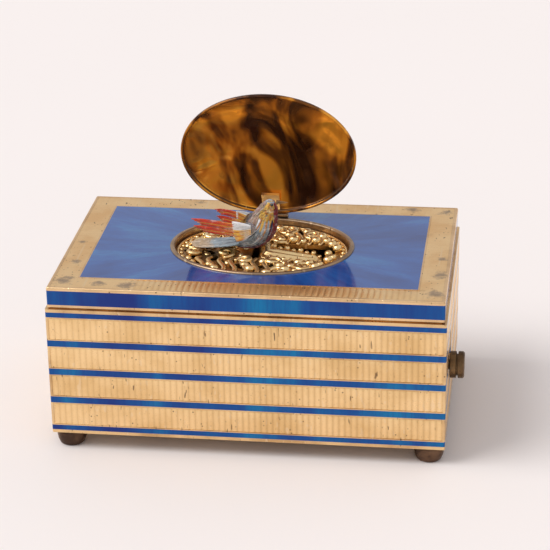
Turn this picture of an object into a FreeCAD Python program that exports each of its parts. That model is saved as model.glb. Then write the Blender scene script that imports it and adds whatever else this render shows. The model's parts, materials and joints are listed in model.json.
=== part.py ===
"""A spring-driven singing bird box: an enamelled brass case, an oval lid over a pierced grille, and a small
feathered bird that stands up through a slot in the grille, sings, flaps, turns and lies down again.

Frame: millimetres, +Z up, +Y to the back where the lid is hinged, +X to the side with the start knob. The
origin is on the ground, under the middle of the whole object with its knob. Every piece is built about the
middle of the case and is then moved by half of the knob's reach.
"""

import FreeCAD
import Part
import math
import os
import re
import Sketcher
from FreeCAD import Placement, Rotation, Vector

DIMENSIONS = [
    # case
    ("case_length", 101.0, "outside length of the lower case"),
    ("case_depth", 63.8, "outside depth of the lower case"),
    ("case_height", 34.8, "height of the lower case's walls"),
    ("case_wall", 1.2, "thickness of the case's walls"),
    ("case_corner", 0.45, "rounding of the case's upright corners"),
    ("stripe_count", 5, "enamel stripes round the case"),
    ("stripe_pitch", 7.93, "height from stripe to stripe"),
    ("stripe_width", 1.7, "height of an inner stripe"),
    ("edge_stripe_width", 1.35, "height of the top and the bottom stripe"),
    ("enamel_depth", 0.4, "depth of the enamel in its channel"),
    ("field_relief", 0.16, "depth of the fluted fields between the stripes"),
    ("field_rim", 0.28, "plain gold line between a field and a stripe"),
    ("corner_land", 0.7, "plain upright land at the end of a field"),
    ("seat_rise", 0.4, "step of the inner lip that carries the cover"),
    ("seat_inset", 1.3, "how far that lip stands in from the outside"),
    ("seat_wall", 0.8, "thickness of that lip"),
    # feet
    ("foot_height", 4.4, "height of a bun foot"),
    ("foot_radius", 3.85, "widest radius of a foot"),
    ("foot_inset", 4.2, "from the case's outside to a foot's axis"),
    # cover
    ("cover_reveal", 0.5, "how far the cover stands in from the case, on each side"),
    ("cover_height", 5.4, "height of the top cover"),
    ("cover_wall", 1.2, "thickness of the cover"),
    ("cover_edge", 0.45, "rounding of the cover's edges"),
    ("cover_line", 0.65, "gold line under the cover's enamel band"),
    ("cover_band", 3.85, "height of the cover's enamel band"),
    ("border", 7.2, "width of the gold border round the top enamel"),
    ("border_rim", 0.45, "plain line along both edges of the border's fluting"),
    # oval opening, bezel and grille
    ("oval_long", 48.2, "outside length of the bezel"),
    ("oval_short", 38.2, "outside depth of the bezel"),
    ("oval_shift", 0.5, "how far the oval's middle lies to the right of the case's"),
    ("bezel_width", 1.25, "width of the bezel's ring"),
    ("bezel_rise", 0.5, "height of the bezel over the top"),
    ("bezel_skirt", 3.4, "height of the bezel below the top"),
    ("bezel_round", 0.4, "rounding of the bezel's upper edges"),
    ("grille_drop", 1.6, "from the top down to the grille"),
    ("grille_thick", 1.0, "thickness of the grille"),
    ("slot_left", 2.6, "slot's reach to the left of the bird's axle"),
    ("slot_right", 19.0, "slot's reach to the right of the bird's axle"),
    ("slot_half", 5.1, "half of the slot's width"),
    # lid
    ("lid_inset", 0.8, "how far the lid's edge stands in from the bezel's"),
    ("lid_rim", 0.9, "height of the lid's upright rim"),
    ("lid_dome", 4.2, "rise of the lid's dome over its rim"),
    ("lid_skin", 0.6, "thickness of the lid's metal"),
    ("lid_enamel_skin", 0.35, "thickness of the enamel on the lid"),
    ("lid_border", 1.6, "gold border round the lid's enamel"),
    ("lid_gap", 0.06, "clearance between the closed lid and the bezel"),
    ("lid_open", 78.0, "angle of the open lid, in degrees from closed"),
    ("hinge_radius", 0.62, "radius of the lid hinge's knuckles"),
    ("hinge_knuckle", 2.9, "length of one knuckle"),
    ("hinge_back", 0.75, "from the lid's rear edge to the hinge's axis"),
    ("pin_radius", 0.3, "radius of the hinge pin"),
    # bird
    ("axle_left", 0.5, "bird axle's place along the case"),
    ("axle_drop", 3.8, "bird axle's depth under the top"),
    ("axle_radius", 0.6, "radius of the bird's axle"),
    ("fold_angle", 88.0, "angle by which the bird lies down"),
    ("post_offset", 1.5, "from the axle to the bird's post"),
    ("post_radius", 0.7, "radius of the bird's post"),
    ("leaf_length", 15.6, "reach of the leaf that closes the slot"),
    ("leaf_half", 4.7, "half of that leaf's width"),
    ("leaf_tilt", 5.0, "slope of that leaf, in degrees"),
    ("torso_long", 6.0, "half length of the bird's body"),
    ("torso_deep", 3.5, "half depth of the bird's body"),
    ("torso_wide", 3.1, "half width of the bird's body"),
    ("torso_lean", 35.0, "lean of the bird's body, in degrees"),
    ("head_radius", 2.3, "radius of the bird's head"),
    ("wing_length", 15.0, "length of a wing"),
    ("wing_width", 2.9, "width of a wing"),
    ("wing_skin", 0.4, "thickness of a wing"),
    ("wing_rise", 8.0, "slope of a wing, in degrees"),
    ("tail_length", 13.4, "length of the tail"),
    ("tail_half", 3.1, "half width of the tail"),
    ("tail_droop", 6.0, "slope of the tail, in degrees"),
    ("tail_skin", 0.5, "thickness of the tail"),
    # start knob and slide
    ("knob_reach", 3.95, "how far the knob stands out of the case"),
    ("knob_radius", 3.45, "radius of the knob's two discs"),
    ("knob_back", 13.9, "from the case's front to the knob, at rest"),
    ("knob_travel", 7.0, "travel of the knob along its slot"),
    ("stem_radius", 1.3, "radius of the knob's stem"),
    # movement
    ("base_thick", 1.6, "thickness of the base plate"),
    ("fit_gap", 0.1, "clearance of a plate or slide in its frame"),
    ("run_gap", 0.04, "radial clearance of a running shaft"),
    ("bridge_height", 17.0, "from the base plate up to the bridge plate"),
    ("bridge_thick", 1.4, "thickness of the bridge plate"),
    ("gear_module", 0.4, "module of the wheels"),
    ("barrel_left", -30.0, "barrel's place along the case"),
    ("barrel_inset", 19.9, "from the case's front to the barrel's axis"),
    ("barrel_teeth", 60, "teeth of the barrel's great wheel"),
    ("cam_pinion_teeth", 20, "teeth of the cam arbor's pinion"),
    ("cam_wheel_teeth", 48, "teeth of the cam wheel"),
    ("crank_pinion_teeth", 16, "teeth of the crank arbor's pinion"),
    ("crank_wheel_teeth", 40, "teeth of the crank wheel"),
    ("fly_pinion_teeth", 16, "teeth of the fly's pinion"),
    ("drum_radius", 10.0, "radius of the mainspring's drum"),
    ("drum_height", 11.0, "height of the mainspring's drum"),
    ("cam_radius", 5.2, "largest radius of a song cam"),
    ("cam_count", 6, "song cams on their arbor"),
    ("arbor_radius", 0.9, "radius of a wheel's arbor"),
    ("pivot_radius", 0.5, "radius of an arbor's pivots"),
    ("barrel_arbor_radius", 2.0, "radius of the barrel's arbor"),
    ("fly_radius", 4.8, "reach of the fly's vanes"),
    ("throw_radius", 2.1, "radius of the crank's eccentric"),
    ("throw_offset", 0.9, "offset of the crank's eccentric"),
    ("bellows_length", 34.0, "length of the bellows, from its hinge to the crank"),
    ("bellows_tall", 15.0, "height of the bellows"),
    ("bellows_wide", 9.0, "mean opening of the bellows"),
    ("bellows_clear", 1.3, "gap between the bellows and the case's back wall"),
    ("whistle_radius", 3.4, "outside radius of the whistle"),
    ("whistle_bore", 2.4, "radius of the whistle's bore"),
    ("whistle_length", 26.0, "length of the whistle"),
    ("whistle_clear", 8.7, "from the case's back wall to the whistle's axis"),
    ("lever_reach", 21.33, "from the cams to the piston lever's pin"),
]

doc = FreeCAD.newDocument("SingingBirdBox")
sheet = doc.addObject("Spreadsheet::Sheet", "Dims")
for row, (alias, value, meaning) in enumerate(DIMENSIONS, start=1):
    sheet.set(f"A{row}", meaning)
    sheet.set(f"B{row}", str(value))
    sheet.setAlias(f"B{row}", alias)
doc.recompute()

ALIAS = re.compile(r"\b(" + "|".join(alias for alias, _, _ in DIMENSIONS) + r")\b")
NODES = []


def size(alias):
    """The value of one cell of the sheet."""
    return float(sheet.get(alias))


def formula(text):
    """An expression in which every alias is read from the sheet."""
    return ALIAS.sub(r"Dims.\1", str(text))


# Levels and places that several pieces share, as expressions of the sheet's cells.
FLOOR = "foot_height"
CASE_TOP = "(foot_height + case_height)"
COVER_BASE = "(foot_height + case_height + seat_rise)"
TOP = "(foot_height + case_height + seat_rise + cover_height)"
PLATE_TOP = "(foot_height + base_thick)"
BRIDGE = "(foot_height + base_thick + bridge_height)"
BRIDGE_TOP = "(foot_height + base_thick + bridge_height + bridge_thick)"
FOOT_LEFT = "(case_length / 2 - foot_inset)"
FOOT_BACK = "(case_depth / 2 - foot_inset)"
AXLE_UP = "(foot_height + case_height + seat_rise + cover_height - axle_drop)"
GRILLE_TOP = "(foot_height + case_height + seat_rise + cover_height - grille_drop)"
COVER_LENGTH = "(case_length - 2 * cover_reveal)"
COVER_DEPTH = "(case_depth - 2 * cover_reveal)"
LID_LONG = "(oval_long - 2 * lid_inset)"
LID_SHORT = "(oval_short - 2 * lid_inset)"
BELLOWS_BACK = "(case_depth / 2 - case_wall - bellows_clear)"
WHISTLE_BACK = "(case_depth / 2 - case_wall - whistle_clear)"
LID_BASE = "(foot_height + case_height + seat_rise + cover_height + bezel_rise + lid_gap)"
ROD_UP = "(foot_height + base_thick + 8.3)"
KNOB_FRONT = "(knob_back - case_depth / 2)"
KNOB_UP = "(foot_height + case_height / 2)"


def number(text):
    """The value of an expression of the sheet's cells."""
    sheet.set("D1", "=" + ALIAS.sub(lambda match: repr(size(match.group(1))), str(text)))
    sheet.recompute()
    return float(sheet.get("D1"))


def bind(obj, **expressions):
    """Binds properties of obj to expressions. A name with two underscores reaches into a placement."""
    for name, text in expressions.items():
        obj.setExpression(name.replace("__", "."), formula(text))
    return obj


def place(obj, x=0, y=0, z=0):
    """Binds an object's place to three expressions."""
    return bind(obj, Placement__Base__x=x, Placement__Base__y=y, Placement__Base__z=z)


def box(name, length, width, height, x, y, z):
    """A box centred on x and y that stands on z."""
    obj = doc.addObject("Part::Box", name)
    bind(obj, Length=length, Width=width, Height=height)
    return place(obj, f"{x} - ({length}) / 2", f"{y} - ({width}) / 2", z)


def rod(name, radius, height, x, y, z, axis="Z"):
    """A cylinder that starts at a point and runs along an axis."""
    obj = doc.addObject("Part::Cylinder", name)
    turn = {"X": Rotation(Vector(0, 1, 0), 90), "Y": Rotation(Vector(1, 0, 0), -90), "Z": Rotation()}
    obj.Placement = Placement(Vector(), turn[axis])
    bind(obj, Radius=radius, Height=height)
    return place(obj, x, y, z)


def oval(name, long_half, short_half, height, z):
    """An upright prism on an ellipse about the middle of the opening."""
    ring = doc.addObject("Part::Ellipse", name + "_outline")
    bind(ring, MajorRadius=long_half, MinorRadius=short_half)
    place(ring, "oval_shift", 0, z)
    obj = doc.addObject("Part::Extrusion", name)
    obj.Base = ring
    obj.DirMode = "Custom"
    obj.Dir = Vector(0, 0, 1)
    obj.Solid = True
    return bind(obj, LengthFwd=height)


def cut(name, base, *tools):
    """What is left of base when the tools are taken out of it."""
    obj = doc.addObject("Part::Cut", name)
    obj.Base = base
    obj.Tool = tools[0] if len(tools) == 1 else fuse(name + "_tools", *tools)
    return obj


def fuse(name, *parts):
    """Several solids as one."""
    obj = doc.addObject("Part::MultiFuse", name)
    obj.Shapes = list(parts)
    return obj


def common(name, *parts):
    """What several solids share."""
    obj = doc.addObject("Part::MultiCommon", name)
    obj.Shapes = list(parts)
    return obj


def shaped(name, shape):
    """A solid worked out in this script."""
    obj = doc.addObject("Part::Feature", name)
    obj.Shape = shape
    return obj


def outline_sketch(body, name, points, plane="XZ_Plane"):
    """A closed sketch of straight lines whose corners are bound to pairs of expressions."""
    sketch = body.newObject("Sketcher::SketchObject", name)
    role = [f for f in body.Origin.OriginFeatures if f.Role == plane][0]
    sketch.AttachmentSupport = (role, [""])
    sketch.MapMode = "FlatFace"
    corners = [Vector(number(x), number(y), 0) for x, y in points]
    for i, corner in enumerate(corners):
        sketch.addGeometry(Part.LineSegment(corner, corners[(i + 1) % len(corners)]), False)
    for i in range(len(corners)):
        sketch.addConstraint(Sketcher.Constraint("Coincident", i, 2, (i + 1) % len(corners), 1))
    for i, (x, y) in enumerate(points):
        for kind, letter, text in (("DistanceX", "across", x), ("DistanceY", "up", y)):
            index = sketch.addConstraint(Sketcher.Constraint(kind, -1, 1, i, 1, number(text)))
            sketch.renameConstraint(index, f"{letter}_{i}")
            sketch.setExpression(f"Constraints.{letter}_{i}", formula(text))
    return sketch


def turned(name, points):
    """A body turned about its own Z axis from an outline of radius and height."""
    body = doc.addObject("PartDesign::Body", name)
    sketch = outline_sketch(body, name + "_profile", points)
    turn = body.newObject("PartDesign::Revolution", name + "_turn")
    turn.Profile = sketch
    turn.ReferenceAxis = (sketch, ["V_Axis"])
    turn.Angle = 360.0
    return body


def placed(name, body, x, y, z, turn=None):
    """A linked copy of a body at a place of its own."""
    link = doc.addObject("App::Link", name)
    link.LinkedObject = body
    link.Placement = Placement(Vector(number(x), number(y), number(z)), turn or Rotation())
    return link


def node(label, *solids, pose=None):
    """Registers one sub-part. pose turns it from where it was built to where it rests."""
    obj = doc.addObject("Part::Compound", label)
    obj.Label = label
    obj.Links = list(solids)
    shift = Placement(Vector(-size("knob_reach") / 2, 0, 0), Rotation())
    obj.Placement = shift.multiply(pose) if pose else shift
    if not pose:
        bind(obj, Placement__Base__x="-knob_reach / 2")
    NODES.append(obj)
    return obj


def four(name, make):
    """Four copies, one in each corner: make(name, side, back) gets +1 or -1 for each."""
    return [make(f"{name}_{i}", side, back) for i, (side, back) in
            enumerate(((-1, -1), (1, -1), (-1, 1), (1, 1)), start=1)]


def gear(teeth, phase, thick, bore, z, centre):
    """A spur wheel with involute teeth, one of them centred on the angle phase, about an upright axis."""
    module, pressure, addendum, slack = size("gear_module"), math.radians(25), 0.7, 0.05
    pitch_r = module * teeth / 2
    base_r, tip_r, root_r = pitch_r * math.cos(pressure), pitch_r + addendum * module, pitch_r - module

    def lean(radius):
        angle = math.acos(min(1.0, base_r / max(radius, base_r)))
        return math.tan(angle) - angle

    half = math.pi / (2 * teeth) - slack / pitch_r
    steps = [max(root_r, base_r) + (tip_r - max(root_r, base_r)) * k / 3 for k in range(4)]
    flank = [(root_r, half + lean(pitch_r))] if root_r < base_r else []
    flank += [(r, half + lean(pitch_r) - lean(r)) for r in steps]
    points = []
    for tooth in range(teeth):
        middle = phase + 2 * math.pi * tooth / teeth
        for radius, angle in [(r, -a) for r, a in flank] + [(r, a) for r, a in reversed(flank)]:
            points.append(Vector(radius * math.cos(middle + angle), radius * math.sin(middle + angle), 0))
    face = Part.Face(Part.makePolygon(points + points[:1]))
    wheel = face.extrude(Vector(0, 0, thick)).cut(Part.makeCylinder(bore, thick))
    wheel.translate(Vector(centre.x, centre.y, z))
    return wheel


# ---------------------------------------------------------------------------------------------- case


def make_stripe(name, index):
    """One enamel ring, flush with the case's outside."""
    edge = index in (0, int(size("stripe_count")) - 1)
    high = "edge_stripe_width" if edge else "stripe_width"
    first = "(case_height - (stripe_count - 1) * stripe_pitch) / 2"
    low = f"foot_height + {first} + {index} * stripe_pitch - {high} / 2"
    outer = box(name + "_outer", "case_length", "case_depth", high, 0, 0, low)
    inner = box(name + "_inner", "case_length - 2 * enamel_depth", "case_depth - 2 * enamel_depth",
                high, 0, 0, low)
    return cut(name, outer, inner)


def make_field(name, index):
    """The ring that is sunk for the fluted field above stripe number index."""
    last = int(size("stripe_count")) - 1
    below = "edge_stripe_width" if index == 0 else "stripe_width"
    above = "edge_stripe_width" if index + 1 == last else "stripe_width"
    first = "(case_height - (stripe_count - 1) * stripe_pitch) / 2"
    low = f"foot_height + {first} + {index} * stripe_pitch + {below} / 2 + field_rim"
    high = f"stripe_pitch - {below} / 2 - {above} / 2 - 2 * field_rim"
    outer = box(name + "_outer", "case_length + 2", "case_depth + 2", high, 0, 0, low)
    inner = box(name + "_inner", "case_length - 2 * field_relief", "case_depth - 2 * field_relief",
                high, 0, 0, low)
    return cut(name, outer, inner)


def knob_slot(name):
    """The slot that the knob's stem runs along, through the right-hand wall."""
    wide = "2 * stem_radius + 2 * fit_gap"
    middle = box(name + "_run", "case_wall + 4", "knob_travel", wide, "case_length / 2",
                 f"{KNOB_FRONT} + knob_travel / 2", f"{KNOB_UP} - stem_radius - fit_gap")
    ends = [rod(f"{name}_end_{i}", "stem_radius + fit_gap", "case_wall + 4",
                "case_length / 2 - case_wall / 2 - 2", f"{KNOB_FRONT} + {i} * knob_travel", KNOB_UP, "X")
            for i in (0, 1)]
    return fuse(name, middle, *ends)


def make_case():
    """The lower case: four walls, a lip for the cover, and the enamel stripes in their channels."""
    corners = box("case_block", "case_length", "case_depth", "case_height", 0, 0, FLOOR)
    rounded = doc.addObject("Part::Fillet", "case_rounded")
    rounded.Base = corners
    doc.recompute()
    upright = [i + 1 for i, e in enumerate(corners.Shape.Edges) if abs(e.tangentAt(0).z) > 0.9]
    rounded.Edges = [(i, size("case_corner"), size("case_corner")) for i in upright]
    lip = box("lip_block", "case_length - 2 * seat_inset", "case_depth - 2 * seat_inset",
              "seat_rise + 4", 0, 0, f"{CASE_TOP} - 4")
    lip_hole = box("lip_hole", "case_length - 2 * (seat_inset + seat_wall)",
                   "case_depth - 2 * (seat_inset + seat_wall)", "seat_rise + 8", 0, 0, f"{CASE_TOP} - 6")
    cavity = box("case_cavity", "case_length - 2 * case_wall", "case_depth - 2 * case_wall",
                 "case_height + 2", 0, 0, f"{FLOOR} - 1")
    stripes = [make_stripe(f"stripe_{i}", i) for i in range(int(size("stripe_count")))]
    rings = fuse("fields", *[make_field(f"field_{i}", i) for i in range(len(stripes) - 1)])
    lands = fuse("lands", *four("land", lambda n, side, back: box(
        n, "2 * corner_land + 2", "2 * corner_land + 2", "case_height + 2",
        f"{side} * (case_length / 2 + 1)", f"{back} * (case_depth / 2 + 1)", f"{FLOOR} - 1")))
    fields = cut("flute_fields", rings, lands)
    walls = cut("case_walls", rounded, cavity)
    lipped = fuse("case_lipped", walls, cut("case_lip", lip, lip_hole))
    case = cut("case_body", lipped, *stripes, fields, knob_slot("case_slot"))
    node("case_shell", case)
    corner = common("stripe_round", fuse("stripe_rings", *stripes), rounded)
    node("case_enamel_stripes", cut("stripes_slotted", corner, knob_slot("stripe_slot")))


def make_feet():
    """Four bun feet, each held by a screw that runs up into a case pillar."""
    foot = turned("foot", [
        ("1.05", "foot_height"), ("foot_radius - 0.3", "foot_height"),
                           ("foot_radius", "foot_height * 0.82"),
        ("foot_radius", "foot_height * 0.6"), ("foot_radius * 0.95", "foot_height * 0.32"),
        ("foot_radius * 0.86", "foot_height * 0.1"), ("foot_radius * 0.76", "0"), ("2.1", "0"),
        ("2.1", "foot_height * 0.4"), ("1.05", "foot_height * 0.4")])
    names = ("foot_front_left", "foot_front_right", "foot_rear_left", "foot_rear_right")
    places = ((-1, -1), (1, -1), (-1, 1), (1, 1))
    for name, (side, back) in zip(names, places):
        node(name, placed(name + "_copy", foot, f"{side} * {FOOT_LEFT}", f"{back} * {FOOT_BACK}", 0))

    def screw(name, side, back):
        x, y = f"{side} * {FOOT_LEFT}", f"{back} * {FOOT_BACK}"
        head = rod(name + "_head", 1.85, 1.0, x, y, "foot_height * 0.4 - 1.0")
        slot = box(name + "_slit", 4, 0.4, 0.4, x, y, "foot_height * 0.4 - 1.0")
        shank = rod(name + "_shank", 0.95, 12, x, y, "foot_height * 0.4 - 0.2")
        return cut(name, fuse(name + "_whole", head, shank), slot)

    def pillar(name, side, back):
        x, y = f"{side} * {FOOT_LEFT}", f"{back} * {FOOT_BACK}"
        post = rod(name + "_post", 1.9, f"{TOP} - cover_wall - {PLATE_TOP}", x, y, PLATE_TOP)
        bore = rod(name + "_bore", 1.0, 12, x, y, f"{PLATE_TOP} - 1")
        return cut(name, post, bore)

    node("foot_screws", *four("foot_screw", screw))
    node("case_pillars", *four("case_pillar", pillar))


def make_base(pivots, lever_pin):
    """The base plate, which closes the case and carries the movement and the piston lever's pin."""
    body = doc.addObject("PartDesign::Body", "base_body")
    half_x = "case_length / 2 - case_wall - fit_gap"
    half_y = "case_depth / 2 - case_wall - fit_gap"
    sketch = outline_sketch(body, "base_outline", [
        (f"-({half_x})", f"-({half_y})"), (half_x, f"-({half_y})"),
                                                   (half_x, half_y), (f"-({half_x})", half_y)],
        "XY_Plane")
    pad = body.newObject("PartDesign::Pad", "base_pad")
    pad.Profile = sketch
    bind(pad, Length="base_thick")
    place(body, 0, 0, FLOOR)
    holes = four("base_foot_hole", lambda n, side, back: rod(
        n, 1.05, "base_thick + 2", f"{side} * {FOOT_LEFT}", f"{back} * {FOOT_BACK}", f"{FLOOR} - 1"))
    for i, (spot, radius) in enumerate(pivots):
        holes.append(rod(f"base_pivot_{i}", radius, "base_thick + 2", spot.x, spot.y, f"{FLOOR} - 1"))
    node("base_plate", fuse("base_whole", cut("base_drilled", body, *holes), lever_pin))


# --------------------------------------------------------------------------------------------- cover


def make_cover():
    """The top cover: a shallow tray upside down, with sunk seats for its enamel and an oval opening."""
    block = box("cover_block", COVER_LENGTH, COVER_DEPTH, "cover_height", 0, 0, COVER_BASE)
    doc.recompute()
    rounded = doc.addObject("Part::Fillet", "cover_rounded")
    rounded.Base = block
    top = number(TOP)
    edges = [i + 1 for i, e in enumerate(block.Shape.Edges)
             if abs(e.tangentAt(0).z) > 0.9 or abs(e.CenterOfMass.z - top) < 1e-6]
    rounded.Edges = [(i, size("cover_edge"), size("cover_edge")) for i in edges]
    cavity = box("cover_cavity", f"{COVER_LENGTH} - 2 * cover_wall", f"{COVER_DEPTH} - 2 * cover_wall",
                 "cover_height - cover_wall + 1", 0, 0, f"{COVER_BASE} - 1")
    low = f"{COVER_BASE} + cover_line"
    band = cut("band_ring", box("band_outer", COVER_LENGTH, COVER_DEPTH, "cover_band", 0, 0, low),
               box("band_inner", f"{COVER_LENGTH} - 2 * enamel_depth",
                   f"{COVER_DEPTH} - 2 * enamel_depth",
                   "cover_band", 0, 0, low))
    panel = box("panel_block", f"{COVER_LENGTH} - 2 * border",
                f"{COVER_DEPTH} - 2 * border", "enamel_depth",
                0, 0, f"{TOP} - enamel_depth")
    opening = oval("cover_opening", "oval_long / 2 - 0.4", "oval_short / 2 - 0.4", "8", f"{TOP} - 6")
    field = cut("border_ring", box("border_outer", f"{COVER_LENGTH} - 2 * (cover_edge + border_rim)",
                                   f"{COVER_DEPTH} - 2 * (cover_edge + border_rim)", "field_relief + 1",
                                   0, 0, f"{TOP} - field_relief"),
                box("border_inner", f"{COVER_LENGTH} - 2 * (border - border_rim)",
                    f"{COVER_DEPTH} - 2 * (border - border_rim)", "field_relief + 1",
                    0, 0, f"{TOP} - field_relief"))
    node("top_cover", cut("cover_body", rounded, cavity, band, panel, opening, field))
    node("cover_enamel_band", common("band_round", band, rounded))
    bezel_hole = oval("panel_hole", "oval_long / 2 - 0.4", "oval_short / 2 - 0.4", "8", f"{TOP} - 6")
    node("top_enamel_panel", cut("panel_body", panel, bezel_hole))


def make_bezel():
    """The raised oval ring round the grille, with a skirt that carries the grille."""
    body = doc.addObject("PartDesign::Body", "bezel_body")
    for part, long_half, short_half, high, low in (
            ("flange", "oval_long / 2", "oval_short / 2", "bezel_rise", "0"),
            ("skirt", "oval_long / 2 - 0.45", "oval_short / 2 - 0.45", "bezel_skirt", "-bezel_skirt")):
        sketch = body.newObject("Sketcher::SketchObject", f"bezel_{part}_outline")
        role = [f for f in body.Origin.OriginFeatures if f.Role == "XY_Plane"][0]
        sketch.AttachmentSupport = (role, [""])
        sketch.MapMode = "FlatFace"
        bind(sketch, AttachmentOffset__Base__z=low)
        inner = ("oval_long / 2 - bezel_width", "oval_short / 2 - bezel_width")
        for k, (a, b) in enumerate(((long_half, short_half), inner)):
            ring = Part.Ellipse(Vector(), number(a), number(b))
            index = sketch.addGeometry(ring, False)
            sketch.exposeInternalGeometry(index)
            sketch.addConstraint(Sketcher.Constraint("Coincident", index, 3, -1, 1))
            sketch.addConstraint(Sketcher.Constraint("Horizontal", index + 1))
            for line, text, word in ((index + 1, a, "long"), (index + 2, b, "short")):
                number_of = sketch.addConstraint(Sketcher.Constraint("Distance", line, 2 * number(text)))
                sketch.renameConstraint(number_of, f"{word}_{k}")
                sketch.setExpression(f"Constraints.{word}_{k}", formula(f"2 * ({text})"))
        pad = body.newObject("PartDesign::Pad", f"bezel_{part}")
        pad.Profile = sketch
        bind(pad, Length=high)
        doc.recompute()
    top_edges = [f"Edge{i + 1}" for i, e in enumerate(body.Shape.Edges)
                 if abs(e.BoundBox.ZMin - size("bezel_rise")) < 1e-6 and e.BoundBox.ZLength < 1e-6]
    rounding = body.newObject("PartDesign::Fillet", "bezel_round_edge")
    rounding.Base = (body.getObject("bezel_skirt"), top_edges)
    bind(rounding, Radius="bezel_round")
    place(body, "oval_shift", 0, TOP)
    node("oval_bezel", body)


def grille_holes():
    """The pierced holes: ovals set along two rings, except where the slot and its rim are."""
    long_half = size("oval_long") / 2 - size("bezel_width")
    short_half = size("oval_short") / 2 - size("bezel_width")
    keep = size("slot_half") + 0.7
    axle = size("axle_left") - size("oval_shift")
    left, right = axle - size("slot_left") - 0.7, axle + size("slot_right") + 0.7
    holes = []
    for share, count, length, width in ((0.84, 26, 1.75, 0.95),
                                        (0.60, 18, 1.9, 1.0), (0.36, 10, 1.3, 0.9)):
        for k in range(count):
            angle = 2 * math.pi * (k + 0.5) / count
            x, y = share * long_half * math.cos(angle), share * short_half * math.sin(angle)
            if abs(y) < keep + width and left - length < x < right + length:
                continue
            tilt = math.atan2(short_half * math.cos(angle), -long_half * math.sin(angle))
            swing = math.radians(38) * (1 if k % 2 else -1)
            wire = Part.Ellipse(Vector(), length, width).toShape()
            prism = Part.Face(Part.Wire(wire)).extrude(Vector(0, 0, 4))
            prism.Placement = Placement(Vector(x, y, -2),
                                        Rotation(Vector(0, 0, 1), math.degrees(tilt + swing)))
            holes.append(prism)
    return holes


def make_grille():
    """The pierced grille with the bird's slot, and the two bearings that hang under it."""
    plate = oval("grille_blank", "oval_long / 2 - bezel_width - fit_gap / 2",
                 "oval_short / 2 - bezel_width - fit_gap / 2",
                 "grille_thick", f"{GRILLE_TOP} - grille_thick")
    slot = box("grille_slot", "slot_left + slot_right", "2 * slot_half", "6",
               "axle_left + (slot_right - slot_left) / 2", 0, f"{GRILLE_TOP} - 3")
    holes = shaped("grille_piercing", Part.makeCompound(grille_holes()))
    place(holes, "oval_shift", 0, f"{GRILLE_TOP} - grille_thick / 2")
    node("grille", cut("grille_body", plate, slot, holes))
    ears = []
    for side in (-1, 1):
        name = f"ear_{'front' if side < 0 else 'rear'}"
        ear = box(name + "_block", 3.2, 1.0, "axle_drop - grille_drop - grille_thick + 1.6", "axle_left",
                  f"{side} * (slot_half + 0.6)", f"{AXLE_UP} - 1.6")
        bore = rod(name + "_bore", "axle_radius + run_gap", 3, "axle_left",
                   f"{side} * (slot_half + 0.6) - 1.5", AXLE_UP, "Y")
        ears.append(cut(name, ear, bore))
    node("carriage_bearings", *ears)


# ----------------------------------------------------------------------------------------------- lid


def cap(name, long_half, short_half, rise, base, full="12"):
    """A flat-bottomed dome on an ellipse, cut from an ellipsoid."""
    share = f"sqrt(1 - (1 - ({rise}) / ({full}))^2)"
    egg = doc.addObject("Part::Ellipsoid", name + "_egg")
    bind(egg, Radius1=full, Radius2=f"({long_half}) / {share}", Radius3=f"({short_half}) / {share}")
    place(egg, "oval_shift", 0, f"{base} + {rise} - {full}")
    keep = box(name + "_keep", "2 * oval_long", "2 * oval_long", f"{full} + 1", 0, 0, base)
    return common(name, egg, keep)


def hinge_point():
    """The lid hinge's axis, in the case's frame."""
    return Vector(0, number(f"{LID_SHORT} / 2 + hinge_back"), number(f"{LID_BASE} + hinge_radius + 0.02"))


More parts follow.
